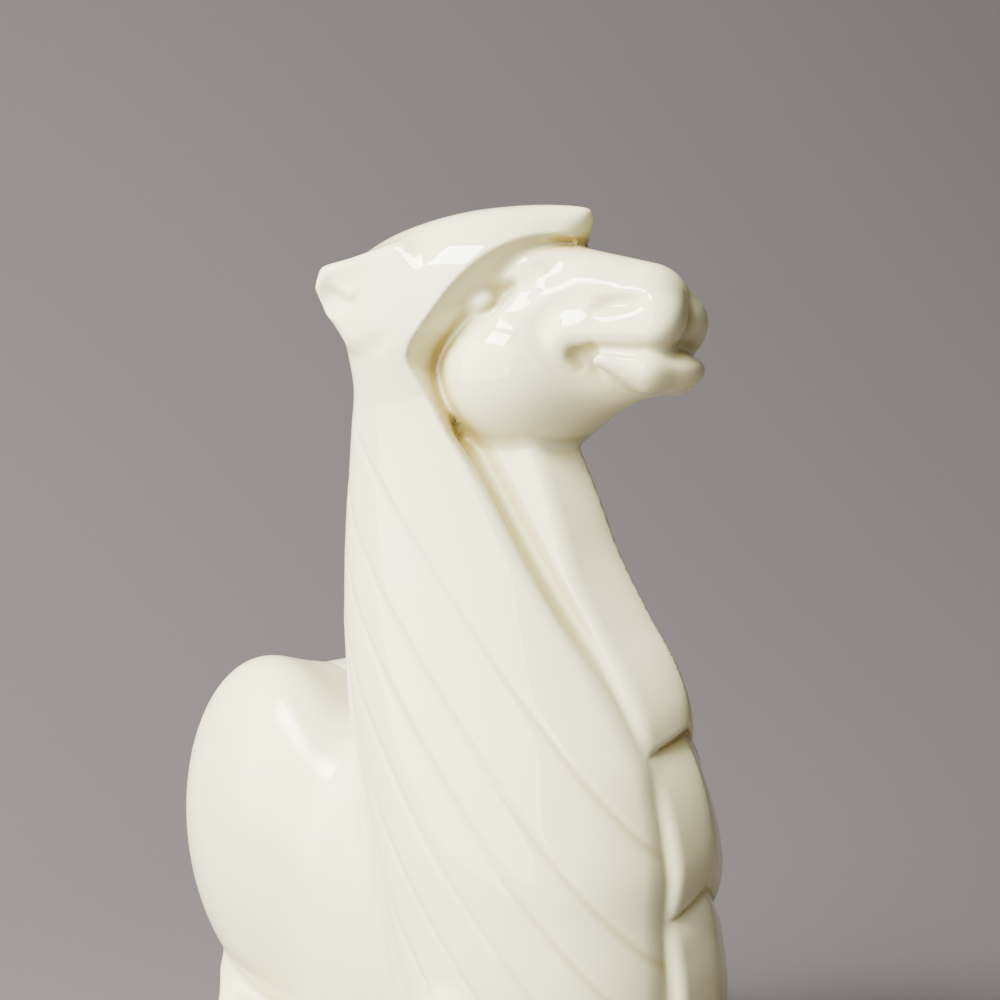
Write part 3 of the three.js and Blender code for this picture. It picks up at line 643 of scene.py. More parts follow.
@dataclass
class Face:
    """The face: cheeks, skull, muzzle, lips, jaw, eyes and nostrils."""

    cheek: Egg = Egg((4.8, 0, 127.1), (14.6, 13.3, 13.3))
    skull: Egg = Egg((4.0, 0, 137.0), (16.5, 9.8, 12.0))
    muzzle: Rod = Rod((9.0, 0, 139.2), (26.6, 0, 137.0), (9.8, 7.5))
    lobe: Egg = Egg((28.7, 4.0, 135.8), (6.2, 4.9, 4.5))
    upper_lip: Rod = Rod((17.5, 7.9, 132.8), (30.0, 4.8, 133.1), (2.4, 3.3))
    jaw: Rod = Rod((8.6, 0, 125.0), (26.0, 0, 127.4), (9.0, 4.0))
    lower_lip: Egg = Egg((28.0, 0, 127.2), (8.3, 6.6, 3.7))
    lip_roll: Rod = Rod((22.6, 8.2, 128.7), (29.5, 5.2, 126.9), (1.1, 3.2))
    corner: tuple[Rod, Rod] = (
        Rod((21.4, 8.7, 130.2), (18.9, 8.6, 129.3), (0.8, 1.3)),
        Rod((18.9, 8.6, 129.3), (19.1, 8.0, 128.0), (1.3, 0.8)),
    )
    nostril: Egg = Egg((31.0, 12.5, 135.8), (8.0, 3.4, 2.8), -3.0)
    nostril_fold: Egg = Egg((26.2, 8.9, 137.5), (3.4, 1.6, 0.9))
    cleft: Egg = Egg((36.0, 0, 134.6), (2.8, 0.9, 4.2))
    socket: Egg = Egg((4.2, 11.9, 139.4), (5.2, 3.7, 2.7), 21.0)
    inner_corner: Egg = Egg((6.0, 9.8, 140.4), (2.5, 2.2, 1.3), 21.0)
    eyeball: Egg = Egg((2.0, 8.6, 138.5), (2.5, 2.2, 2.1), 21.0)
    brow_cove: tuple[tuple[Triple, float], ...] = (
        ((-6.0, 14.0, 131.5), 1.8), ((-2.0, 14.4, 135.6), 2.6), ((3.5, 14.6, 139.0), 3.8),
        ((9.5, 13.4, 141.6), 4.4), ((14.4, 11.2, 144.6), 3.6), ((18.0, 8.4, 146.6), 2.2),
    )  # fmt: skip

    def cove(self, p: Array) -> Array:
        """Measures points against the hollow under the hood, over the eye.

        Args:
            p: Points of the head's frame, folded onto one side.

        Returns:
            Depth outside the hollow.
        """
        rods = [Rod(a, b, (ra, rb)) for (a, ra), (b, rb) in zip(self.brow_cove, self.brow_cove[1:])]
        found = rods[0].depth(p)
        for rod in rods[1:]:
            found = blend(found, rod.depth(p), fillet=2.0)
        return found

    def depth(self, q: Array) -> Array:
        """Measures points against the face.

        Args:
            q: Points of the head's frame.

        Returns:
            Depth outside the face.
        """
        p = folded(q)
        d = blend(self.cheek.depth(p), self.skull.depth(p), fillet=2.0)
        for form, fillet in ((self.muzzle, 2.8), (self.lobe, 2.0), (self.upper_lip, 4.0)):
            d = blend(d, form.depth(p), fillet)
        d = carved(d, self.cove(p), rounding=2.0)
        lip = blend(self.lower_lip.depth(p), self.lip_roll.depth(p), fillet=2.5)
        d = blend(blend(d, self.jaw.depth(p), fillet=4.0), lip, fillet=1.6)
        corner = blend(self.corner[0].depth(p), self.corner[1].depth(p), fillet=0.5)
        d = carved(d, corner, rounding=1.2)
        for tool, rounding in (
            (self.nostril, 4.0),
            (self.nostril_fold, 2.0),
            (self.cleft, 1.6),
            (self.socket, 1.1),
            (self.inner_corner, 1.2),
        ):
            d = carved(d, tool.depth(p), rounding)
        return blend(d, self.eyeball.depth(p), fillet=1.0)

    def lay(self, clay: Clay) -> None:
        """Lays rough clay for the face.

        Args:
            clay: Where it is laid.
        """
        upper = (self.cheek, self.skull, self.muzzle, self.lobe, self.upper_lip)
        for form in (*upper, self.jaw, self.lower_lip, self.lip_roll):
            form.lay(clay)


@dataclass(frozen=True)
class Lock:
    """One lock of the throat's wool."""

    front: Track  # how far forward the keel reaches, at levels
    bottom: float
    top: float
    half: float
    keel: float  # how fast the sides fall back from the keel
    lean: float  # turns a level distance into one across the front
    slimming: float = 1.6  # what the half width loses towards the chin
    slim_from: float = 95.0  # height where it begins to
    slim_over: float = 20.0  # height that it takes to
    side_lean: float = 0.93  # turns a sideways distance into one across the sides
    inset: float = 12.0  # how far the lock runs in behind the throat line
    droop: float = 0.5  # how far the sides hang below the keel
    blunt: float = 2.0  # breadth of the keel's rounded ridge

    def width(self, u: Array) -> Array:
        """Half width at heights."""
        return self.half - self.slimming * np.clip((u - self.slim_from) / self.slim_over, 0, 1)

    def fall(self, s: Array) -> Array:
        """How far the front falls back beside the keel."""
        return self.keel * (np.hypot(s, self.blunt) - self.blunt)

    def depth(self, q: Array) -> Array:
        """Measures points against the lock.

        Args:
            q: Points of the head's frame.

        Returns:
            Depth outside the lock.
        """
        f, s, u = q[:, 0], np.abs(q[:, 1]), q[:, 2]
        level = u + self.droop * s
        face = (f - self.front(level) + self.fall(s)) / math.hypot(1, self.keel)
        bar = shared(face, (s - self.width(u)) * self.side_lean, rounding=1.6) * self.lean
        hung = shared(bar, self.bottom - level, rounding=1.6)
        trimmed = shared(hung, level - self.top, rounding=2.0)
        return shared(trimmed, THROAT(u) - self.inset - f, rounding=2.0)

    def lay(self, clay: Clay) -> None:
        """Lays rough clay for the lock.

        Args:
            clay: Where it is laid.
        """

        def ring(turn: Array, along: Array) -> Array:
            """Points round the lock.

            Args:
                turn: How far round, from 0 to 1.
                along: How far along it, from 0 to 1.

            Returns:
                The points, in the head's frame.
            """
            u = self.bottom + 0.5 + along * (self.top - self.bottom - 1.0)
            c, s = oval_point(turn, 3.0)
            side = self.width(u) * s
            front, back = self.front(u) - self.fall(side), THROAT(u) - (self.inset - 1.0)
            f = (front + back) / 2 + (front - back) / 2 * c
            return np.stack([f, side, u - self.droop * np.abs(side)], -1)

        clay.loft(ring, 28, 20)


@dataclass
class Throat:
    """The raised keel of wool on the throat, which ends on the chest in three overlapping locks."""

    locks: tuple[Lock, ...] = (
        Lock(
            Track(
                (66, 34.6), (71.5, 34.3), (73.5, 34.2), (76, 33.8), (80, 32.4), (85, 29.7),
                (87.3, 28.2), (91.2, 25.9), (99, 21.7), (107, 18.4), (111, 16.7), (117, 14.0),
                (124, 11.0),
            ),
            71.3, 126.0, 8.9, 0.50, 0.88,
        ),
        Lock(
            Track(
                (44, 35.0), (46.2, 36.4), (48.1, 37.3), (50.6, 38.0), (53.4, 38.3), (57.7, 37.8),
                (61.9, 36.8), (67.8, 34.6), (72, 32.4), (80, 28.5),
            ),
            46.2, 78.0, 8.6, 0.30, 0.95,
        ),
        Lock(
            Track(
                (14, 32), (18, 35.4), (22, 37.2), (28, 38.6), (33, 39.0), (36, 38.9), (40, 38.4),
                (44.5, 37.5), (48, 36), (54, 33),
            ),
            18.5, 53.0, 8.8, 0.28, 0.97,
        ),
    )  # fmt: skip
    channel_out: float = 1.5  # how far beside the first lock the channel's middle runs
    channel_ahead: float = 1.1  # how far in front of the wool's edge it runs
    channel_oval: float = 0.85  # below 1 the channel is longer forwards than sideways
    channel_from: float = 68.0  # height where it begins to open
    channel_opening: float = 22.0  # height that it takes to
    channel_top: float = 117.0  # height where it begins to close
    channel_closing: float = 8.0  # height that it takes to
    channel_radius: float = 1.9
    channel_sunk: float = 0.6  # what every radius loses, so that the channel's ends run out

    def depth(self, q: Array) -> Array:
        """Depth outside the locks."""
        return np.min([lock.depth(q) for lock in self.locks], axis=0)

    def channel(self, q: Array, edge: Array) -> Array:
        """Depth outside the channel between the first lock and the wool's edge.

        Args:
            q: Points of the head's frame.
            edge: How far forward the wool reaches at each point's height.

        Returns:
            Depth outside the channel.
        """
        f, s, u = q[:, 0], np.abs(q[:, 1]), q[:, 2]
        opened = smooth_step((u - self.channel_from) / self.channel_opening)
        closed = smooth_step((u - self.channel_top) / self.channel_closing)
        radius = self.channel_radius * (opened * (1 - closed)) - self.channel_sunk
        out = s - (self.locks[0].width(u) + self.channel_out)
        return np.hypot((f - edge - self.channel_ahead) * self.channel_oval, out) - radius

    def lay(self, clay: Clay) -> None:
        """Lays rough clay for the locks."""
        for lock in self.locks:
            lock.lay(clay)


@dataclass
class Trunk:
    """The trunk with its two thighs."""

    loin: Egg = Egg((-28, 0, 38), (42, 19.5, 29))
    rump: Egg = Egg((-60, 0, 46), (24, 19, 29.5))
    belly: Egg = Egg((-38, 0, 24), (40, 17, 27))
    thigh: Egg = Egg((-58.2, 12.8, 48.0), (25.4, 13.5, 29.6), 6.0)

    def depth(self, points: Array) -> Array:
        """Measures points against the trunk.

        Args:
            points: Points of the figure's frame.

        Returns:
            Depth outside the trunk.
        """
        p = folded(points)
        d = blend(self.loin.depth(p), self.rump.depth(p), fillet=12.0)
        d = blend(d, self.belly.depth(p), fillet=8.0)
        return blend(d, self.thigh.depth(p), fillet=9.0)

    def lay(self, clay: Clay) -> None:
        """Lays rough clay for the trunk."""
        for form in (self.loin, self.rump, self.belly, self.thigh):
            form.lay(clay)


@dataclass
class Tail:
    """The short tail, laid down over the rump."""

    dock: Rod = Rod((-77, 0, 66), (-83.5, 0, 52), (3.2, 5.6))
    tip: Rod = Rod((-83.5, 0, 52), (-82.5, 0, 31), (5.6, 2.2))
    broad: float = 0.8  # below 1 the tail is broader than it is thick

    def depth(self, points: Array) -> Array:
        """Depth outside the tail."""
        p = folded(points) * np.array([1.0, self.broad, 1.0])
        return blend(self.dock.depth(p), self.tip.depth(p), fillet=3.0)

    def lay(self, clay: Clay) -> None:
        """Lays rough clay for the tail."""
        self.dock.lay(clay)
        self.tip.lay(clay)


@dataclass
class Limb:
    """A folded leg with its two toes, given for one side."""

    upper: Rod
    shank: Rod
    toes: tuple[Rod, Rod]
    bend: float  # fillet at the knee or hock

    def depth(self, points: Array) -> Array:
        """Measures points against the leg on either side.

        Args:
            points: Points of the leg's frame.

        Returns:
            Depth outside the leg.
        """
        p = folded(points)
        foot = blend(self.toes[0].depth(p), self.toes[1].depth(p), fillet=1.0)
        return blend(blend(self.upper.depth(p), self.shank.depth(p), self.bend), foot, fillet=2.5)

    def lay(self, clay: Clay, sides: Sequence[int] = (1, -1)) -> None:
        """Lays rough clay for the leg on each side."""
        for form in (self.upper, self.shank, *self.toes):
            form.lay(clay, sides)


@dataclass
class Figure:
    """The whole animal: every form, joined with soft fillets and set down on level ground."""

    mantle: Mantle = field(default_factory=Mantle)
    ears: Ears = field(default_factory=Ears)
    face: Face = field(default_factory=Face)
    throat: Throat = field(default_factory=Throat)
    trunk: Trunk = field(default_factory=Trunk)
    tail: Tail = field(default_factory=Tail)
    foreleg: Limb = field(
        default_factory=lambda: Limb(
            Rod((4, 15.5, 25), (27.5, 10.2, 9.5), (8.0, 7.0)),
            Rod((28.5, 10.2, 7.0), (0, 16.5, 5.8), (7.0, 4.8)),
            (
                Rod((1, 14.6, 4.6), (-10.5, 14.4, 3.4), (4.0, 2.8)),
                Rod((1, 19.2, 4.6), (-10.5, 20.0, 3.4), (4.0, 2.8)),
            ),
            3.0,
        )
    )
    hind_leg: Limb = field(
        default_factory=lambda: Limb(
            Rod((-67, 12.5, 17), (-61, 15.5, 7.5), (6.5, 6.5)),
            Rod((-61, 15.5, 7.5), (-30, 20.0, 5.6), (6.5, 4.6)),
            (
                Rod((-31, 18.2, 4.6), (-20.5, 17.6, 3.4), (4.0, 2.8)),
                Rod((-31, 22.8, 4.6), (-20.5, 23.4, 3.4), (4.0, 2.8)),
            ),
            4.0,
        )
    )

    head_from: float = 105.0  # the face lies above this height, the trunk and legs below it

    def depth(self, points: Array) -> Array:
        """Measures points against the whole figure.

        Args:
            points: Points of the figure's frame.

        Returns:
            Depth outside the figure, negative inside it.
        """
        high = points[:, 2] > self.head_from
        q = turned(points)
        d = blend(self.mantle.depth(q, self.ears), self.throat.depth(q), fillet=0.8)
        d = carved(d, self.throat.channel(q, self.mantle.edge(q[:, 2])), rounding=1.6)
        faces = np.full(len(points), FAR)
        faces[high] = self.face.depth(q[high])
        found = blend(d, faces, fillet=1.3)
        low = ~high
        p = points[low]
        back = blend(self.trunk.depth(p), self.tail.depth(p), fillet=1.5)
        joined = blend(found[low], back, fillet=2.0)
        joined = blend(joined, self.foreleg.depth(q[low]), fillet=3.0)
        joined = blend(joined, self.hind_leg.depth(p), fillet=3.0)
        found[low] = shared(joined, -p[:, 2], rounding=1.0)
        return found

    def lay(self) -> Clay:
        """Lays rough clay for the whole figure.

        Returns:
            The clay, in the figure's frame.
        """
        upper = Clay(unturned)
        for part in (self.mantle, self.ears, self.face, self.throat, self.foreleg):
            part.lay(upper)
        lower = Clay()
        for part in (self.trunk, self.tail, self.hind_leg):
            part.lay(lower)
        spare = bpy.data.meshes.new("lower")
        lower.bm.to_mesh(spare)
        upper.bm.from_mesh(spare)
        bpy.data.meshes.remove(spare)
        return upper


# Working the clay


def evaluated(obj: bpy.types.Object) -> bpy.types.Mesh:
    """Applies an object's modifiers.

    Args:
        obj: The object, which stays as it is.

    Returns:
        Its mesh with the modifiers applied.
    """
    graph = bpy.context.evaluated_depsgraph_get()
    graph.update()
    return bpy.data.meshes.new_from_object(obj.evaluated_get(graph))


def linked(name: str, mesh: bpy.types.Mesh) -> bpy.types.Object:
    """Puts a mesh into the scene.

    Args:
        name: Name of the object.
        mesh: Its mesh.

    Returns:
        The new object, at the origin.
    """
    obj = bpy.data.objects.new(name, mesh)
    bpy.context.scene.collection.objects.link(obj)
    return obj


def places_of(mesh: bpy.types.Mesh) -> Array:
    """Reads where a mesh's vertices are.

    Args:
        mesh: The mesh.

    Returns:
        Its vertices as points of the figure's frame.
    """
    co = np.empty(len(mesh.vertices) * 3)
    mesh.vertices.foreach_get("co", co)
    return from_metres(co.reshape(-1, 3))


def slope_at(depth: Callable[[Array], Array], points: Array) -> tuple[Array, Array]:
    """Depth at points and the way it rises.

    Args:
        depth: Depth outside a form.
        points: Where it is read.

    Returns:
        The depths, and the slopes as vectors of the figure's frame.
    """
    rises = []
    for axis in range(3):
        offset = np.zeros(3)
        offset[axis] = STEP
        rises.append((depth(points + offset) - depth(points - offset)) / (2 * STEP))
    return depth(points), np.stack(rises, -1)


@dataclass
class Sculptor:
    """Turns rough clay into a smooth closed skin of a form."""

    reach: float = 1.2  # longest move in one pass, in millimetres
    least_steep: float = 0.25  # a flatter slope, squared, is taken as this steep
    passes: tuple[int, int, int] = (5, 3, 2)  # on the first skin, on later ones, and at the end

    def settle(
        self, mesh: bpy.types.Mesh, depth: Callable[[Array], Array], passes: int, relax: bool
    ) -> None:
        """Moves a mesh's vertices onto a form's skin.

        Args:
            mesh: The mesh to work.
            depth: Depth outside the form.
            passes: How often each vertex is moved.
            relax: Whether the vertices are evened out before each pass.
        """
        for _ in range(passes):
            if relax:
                bm = bmesh.new()
                bm.from_mesh(mesh)
                axes = {"use_axis_x": True, "use_axis_y": True, "use_axis_z": True}
                bmesh.ops.smooth_vert(bm, verts=bm.verts, factor=0.5, **axes)
                bm.to_mesh(mesh)
                bm.free()
            points = places_of(mesh)
            value, slope = slope_at(depth, points)
            steep = np.maximum((slope * slope).sum(-1), self.least_steep)
            move = slope * (value / steep)[:, None]
            length = np.sqrt((move * move).sum(-1)) + TINY
            points = points - move * np.minimum(1, self.reach / length)[:, None]
            mesh.vertices.foreach_set("co", to_metres(points).ravel())
            mesh.update()

    def remeshed(self, mesh: bpy.types.Mesh, grain: float) -> bpy.types.Mesh:
        """The mesh as one closed skin of even faces.

        Args:
            mesh: Closed shells that may cross each other.
            grain: Size of the new faces, in millimetres.

        Returns:
            The new mesh.
        """
        obj = linked("clay", mesh)
        modifier = obj.modifiers.new("skin", "REMESH")
        modifier.mode = "VOXEL"
        modifier.voxel_size = grain * MM
        made = evaluated(obj)
        bpy.data.objects.remove(obj)
        bpy.data.meshes.remove(mesh)
        return made

    def skin(
        self, clay: Clay, depth: Callable[[Array], Array], grains: Sequence[float]
    ) -> bpy.types.Mesh:
        """Works rough clay into a form.

        Args:
            clay: The rough clay.
            depth: Depth outside the form.
            grains: Face sizes of the successive skins, in millimetres.

        Returns:
            A closed mesh on the form's skin.
        """
        mesh = bpy.data.meshes.new("clay")
        clay.bm.to_mesh(mesh)
        clay.bm.free()
        for i, grain in enumerate(grains):
            mesh = self.remeshed(mesh, grain)
            self.settle(mesh, depth, self.passes[min(i, 1)], relax=True)
        self.settle(mesh, depth, self.passes[2], relax=False)
        return mesh


class Cut(Enum):
    """What a cutting form leaves of the clay."""

    KEEP_INSIDE = "INTERSECT"
    TAKE_AWAY = "DIFFERENCE"


def cut(body: bpy.types.Mesh, tool: bpy.types.Mesh, how: Cut) -> bpy.types.Mesh:
    """Cuts a closed mesh by another.

    Args:
        body: The mesh that is cut.
        tool: The closed cutting form.
        how: Which side of the tool stays.

    Returns:
        A new closed mesh.
    """
    obj, cutter = linked("body", body), linked("tool", tool)
    modifier = obj.modifiers.new("cut", "BOOLEAN")
    modifier.operation = how.value
    modifier.solver = "MANIFOLD"
    modifier.object = cutter
    made = evaluated(obj)
    bpy.data.objects.remove(obj)
    bpy.data.objects.remove(cutter)
    return made


def block(low: float, high: float) -> bpy.types.Mesh:
    """Makes a level slab of space, wider than the figure.

    Args:
        low: Height of its underside, in millimetres.
        high: Height of its top.

    Returns:
        The slab's mesh.
    """
    bm = bmesh.new()
    made = bmesh.ops.create_cube(bm, size=1.0)["verts"]
    wide = 0.4  # metres, more than the figure is long
    bmesh.ops.scale(bm, verts=made, vec=(wide, wide, (high - low) * MM))
    bmesh.ops.translate(bm, verts=made, vec=(0, 0, (high + low) / 2 * MM))
    mesh = bpy.data.meshes.new("block")
    bm.to_mesh(mesh)
    bm.free()
    return mesh


# Glaze


class Wire:
    """A socket or number that ordinary sums can be written with."""

    def __init__(self, tree: "Tree", value: Any) -> None:
        """Keeps the tree and the socket or number."""
        self.tree, self.value = tree, value

    def _math(self, operation: str, *others: Any, clamp: bool = False) -> "Wire":
        """Adds a Math node.

        Args:
            operation: The node's operation, whose first value is this one.
            others: Its other values.
            clamp: Whether the outcome is held between 0 and 1.

        Returns:
            The node's output.
        """
        inputs = dict(enumerate((self, *others)))
        settings = {"operation": operation, "use_clamp": clamp}
        return self.tree.node("ShaderNodeMath", settings, inputs)

    def __add__(self, other: Any) -> "Wire":
        """Sum."""
        return self._math("ADD", other)

    def __sub__(self, other: Any) -> "Wire":
        """Difference."""
        return self._math("SUBTRACT", other)

    def __rsub__(self, other: Any) -> "Wire":
        """Difference from a number."""
        return Wire(self.tree, other)._math("SUBTRACT", self)

    def __mul__(self, other: Any) -> "Wire":
        """Product."""
        return self._math("MULTIPLY", other)

    __radd__ = __add__
    __rmul__ = __mul__

    def abs(self) -> "Wire":
        """Size without sign."""
        return self._math("ABSOLUTE")

    def least(self, other: Any) -> "Wire":
        """The smaller of two values."""
        return self._math("MINIMUM", other)

    def exp(self) -> "Wire":
        """Exponential."""
        return self._math("EXPONENT")

    def clamped(self) -> "Wire":
        """The value held between 0 and 1."""
        return self._math("ADD", 0.0, clamp=True)


class Tree:
    """The nodes of one material."""

    def __init__(self, name: str) -> None:
        """Starts a material with a Principled shader.

        Args:
            name: Name of the material.
        """
        self.material = bpy.data.materials.new(name)
        self.material.use_nodes = True
        self.nodes = self.material.node_tree.nodes
        self.shader = self.nodes["Principled BSDF"]

    def node(
        self, kind: str, settings: dict[str, Any], inputs: dict[Any, Any], output: int | str = 0
    ) -> Wire:
        """Adds a node.

        Args:
            kind: The node's type.
            settings: Its own settings, which are set first.
            inputs: Values or wires by socket name or number.
            output: The socket that is given back.

        Returns:
            The chosen output.
        """
        made = self.nodes.new(kind)
        for name, value in settings.items():
            setattr(made, name, value)
        self.feed(made, inputs)
        return Wire(self, made.outputs[output])

    def feed(self, node: Any, inputs: dict[Any, Any]) -> None:
        """Sets or links sockets of a node.

        Args:
            node: The node.
            inputs: Values or wires by socket name or number.
        """
        for key, value in inputs.items():
            socket = node.inputs[key]
            plain = value.value if isinstance(value, Wire) else value
            if isinstance(plain, bpy.types.NodeSocket):
                self.material.node_tree.links.new(plain, socket)
            else:
                socket.default_value = plain

    def mixed(self, share: Wire, first: Any, second: Any) -> Wire:
        """A colour between two colours."""
        return self.node("ShaderNodeMix", {"data_type": "RGBA"}, {0: share, 6: first, 7: second}, 2)

    def attribute(self, name: str) -> Wire:
        """A value stored on the piece's vertices."""
        return self.node("ShaderNodeAttribute", {"attribute_name": name}, {}, "Fac")

    def place(self) -> Wire:
        """The place on the piece."""
        return self.node("ShaderNodeTexCoord", {}, {}, "Object")

    def noise(self, scale: float, detail: float) -> Wire:
        """Soft mottling over the piece, about 0.5."""
        inputs = {"Vector": self.place(), "Scale": scale, "Detail": detail}
        return self.node("ShaderNodeTexNoise", {}, inputs)

    def bump(self, height: Wire, strength: float, distance: float) -> Wire:
        """A normal that follows a height."""
        inputs = {"Strength": strength, "Distance": distance, "Height": height}
        return self.node("ShaderNodeBump", {}, inputs)


def rgb(red: float, green: float, blue: float) -> tuple[float, float, float, float]:
    """Makes a linear colour of a display colour.

    Args:
        red: Red, from 0 to 255.
        green: Green, from 0 to 255.
        blue: Blue, from 0 to 255.

    Returns:
        The linear colour.
    """
    shares = [c / 255 for c in (red, green, blue)]
    linear = [c / 12.92 if c <= 0.04045 else ((c + 0.055) / 1.055) ** 2.4 for c in shares]
    return (linear[0], linear[1], linear[2], 1.0)


IVORY = (0.93, 0.90, 0.50, 1.0)  # the glaze over the porcelain's body, as a linear colour


@dataclass(frozen=True)
class IvoryGlaze:
    """A clear glossy glaze over ivory porcelain, deeper in colour where it pools, with shade
    painted into hollows and creases.
    """

    name: str = "ivory_glaze"
    body: tuple[float, ...] = IVORY
    # colour of pooled glaze, also painted into hollows and creases as shade
    pooled_and_shaded: tuple[float, ...] = (0.58, 0.46, 0.15, 1.0)
    tint: tuple[float, ...] = (0.91, 0.88, 0.54, 1.0)
    roughness: float = 0.045
    refraction: float = 1.5
    waviness: float = 0.05  # height of the glaze's slow waves, in millimetres
    orange_peel: float = 0.0025  # height of its fine waves
    cloud_contrast: float = 1.6
    cloud_level: float = 0.3  # how much of the cloudiness doesn't show
    shade_deepening: float = 1.6  # how fast the colour deepens where glaze pools and where shade is painted
    shade_pool_level: float = 0.06  # how much of the pooling and painted shade doesn't show
    flutes: tuple[float, ...] = ()  # levels of the creases, if the piece is fluted
    flute_sharpness: float = 1.6
    flute_depth: float = 0.05
    # how much painted shade the creases between the flutes add
    flute_crease_shade: float = 0.2

    def material(self) -> bpy.types.Material:
        """Builds the glaze.

        Returns:
            The material.
        """
        tree = Tree(self.name + ("_fluted" if self.flutes else ""))
        cloud = tree.noise(scale=38.0, detail=2.0)
        fine = tree.noise(scale=420.0, detail=1.0)
        # how much glaze pools at each vertex, and how much shade is painted there
        pool_and_shade = tree.attribute("pool_and_shade")
        tinted = (cloud * self.cloud_contrast - self.cloud_level).clamped()
        base = tree.mixed(tinted, self.body, self.tint)
        height = cloud * self.waviness + fine * self.orange_peel
        if self.flutes:
            crease = self._crease(tree)
            height = height - crease * self.flute_depth
            # the creases between the flutes are painted darker, as shade
            pool_and_shade = pool_and_shade + crease * self.flute_crease_shade
        # painted shade: the colour deepens towards the pooled colour in hollows and creases, partly
        # glaze pooling and partly shade
        depth = (pool_and_shade * self.shade_deepening - self.shade_pool_level).clamped()
        tree.feed(
            tree.shader,
            {
                "Base Color": tree.mixed(depth, base, self.pooled_and_shaded),
                "Roughness": self.roughness,
                "IOR": self.refraction,
                "Normal": tree.bump(height, strength=1.0, distance=MM),
            },
        )
        return tree.material

    def _crease(self, tree: Tree) -> Wire:
        """Finds the creases between the flutes.

        Args:
            tree: The glaze's nodes.

        Returns:
            1 in a crease and 0 away from it.
        """
        level, strength = tree.attribute("level"), tree.attribute("strength")
        near = (level - self.flutes[0]).abs()
        for mark in self.flutes[1:]:
            near = near.least((level - mark).abs())
        return (near * near * -self.flute_sharpness).exp() * strength


@dataclass(frozen=True)
class SoleBisque:
    """Glaze down the side of the sole, and bare matt porcelain underneath."""

    name: str = "sole_bisque"
    bare: tuple[float, ...] = rgb(228, 220, 202)
    sandy: tuple[float, ...] = rgb(214, 204, 184)
    glazed: tuple[float, ...] = IVORY
    glaze_line: float = 0.9 * MM
    glaze_fade: float = 0.25 * MM
    bare_roughness: float = 0.85
    glazed_roughness: float = 0.3

    def material(self) -> bpy.types.Material:
        """Builds the finish.

        Returns:
            The material.
        """
        tree = Tree(self.name)
        height = tree.node("ShaderNodeSeparateXYZ", {}, {0: tree.place()}, 2)
        speck = tree.noise(scale=900.0, detail=3.0)
        share = ((height - self.glaze_line) * (1 / self.glaze_fade) + speck * 0.6).clamped()
        body = tree.mixed((speck * 2.0 - 0.5).clamped(), self.bare, self.sandy)
        smoothing = self.bare_roughness - self.glazed_roughness
        tree.feed(
            tree.shader,
            {
                "Base Color": tree.mixed(share, body, self.glazed),
                "Roughness": self.bare_roughness - share * smoothing,
                "Coat Weight": share,
                "Coat Roughness": 0.035,
                "Normal": tree.bump(speck, strength=0.5, distance=0.02 * MM),
            },
        )
        return tree.material


# Castings


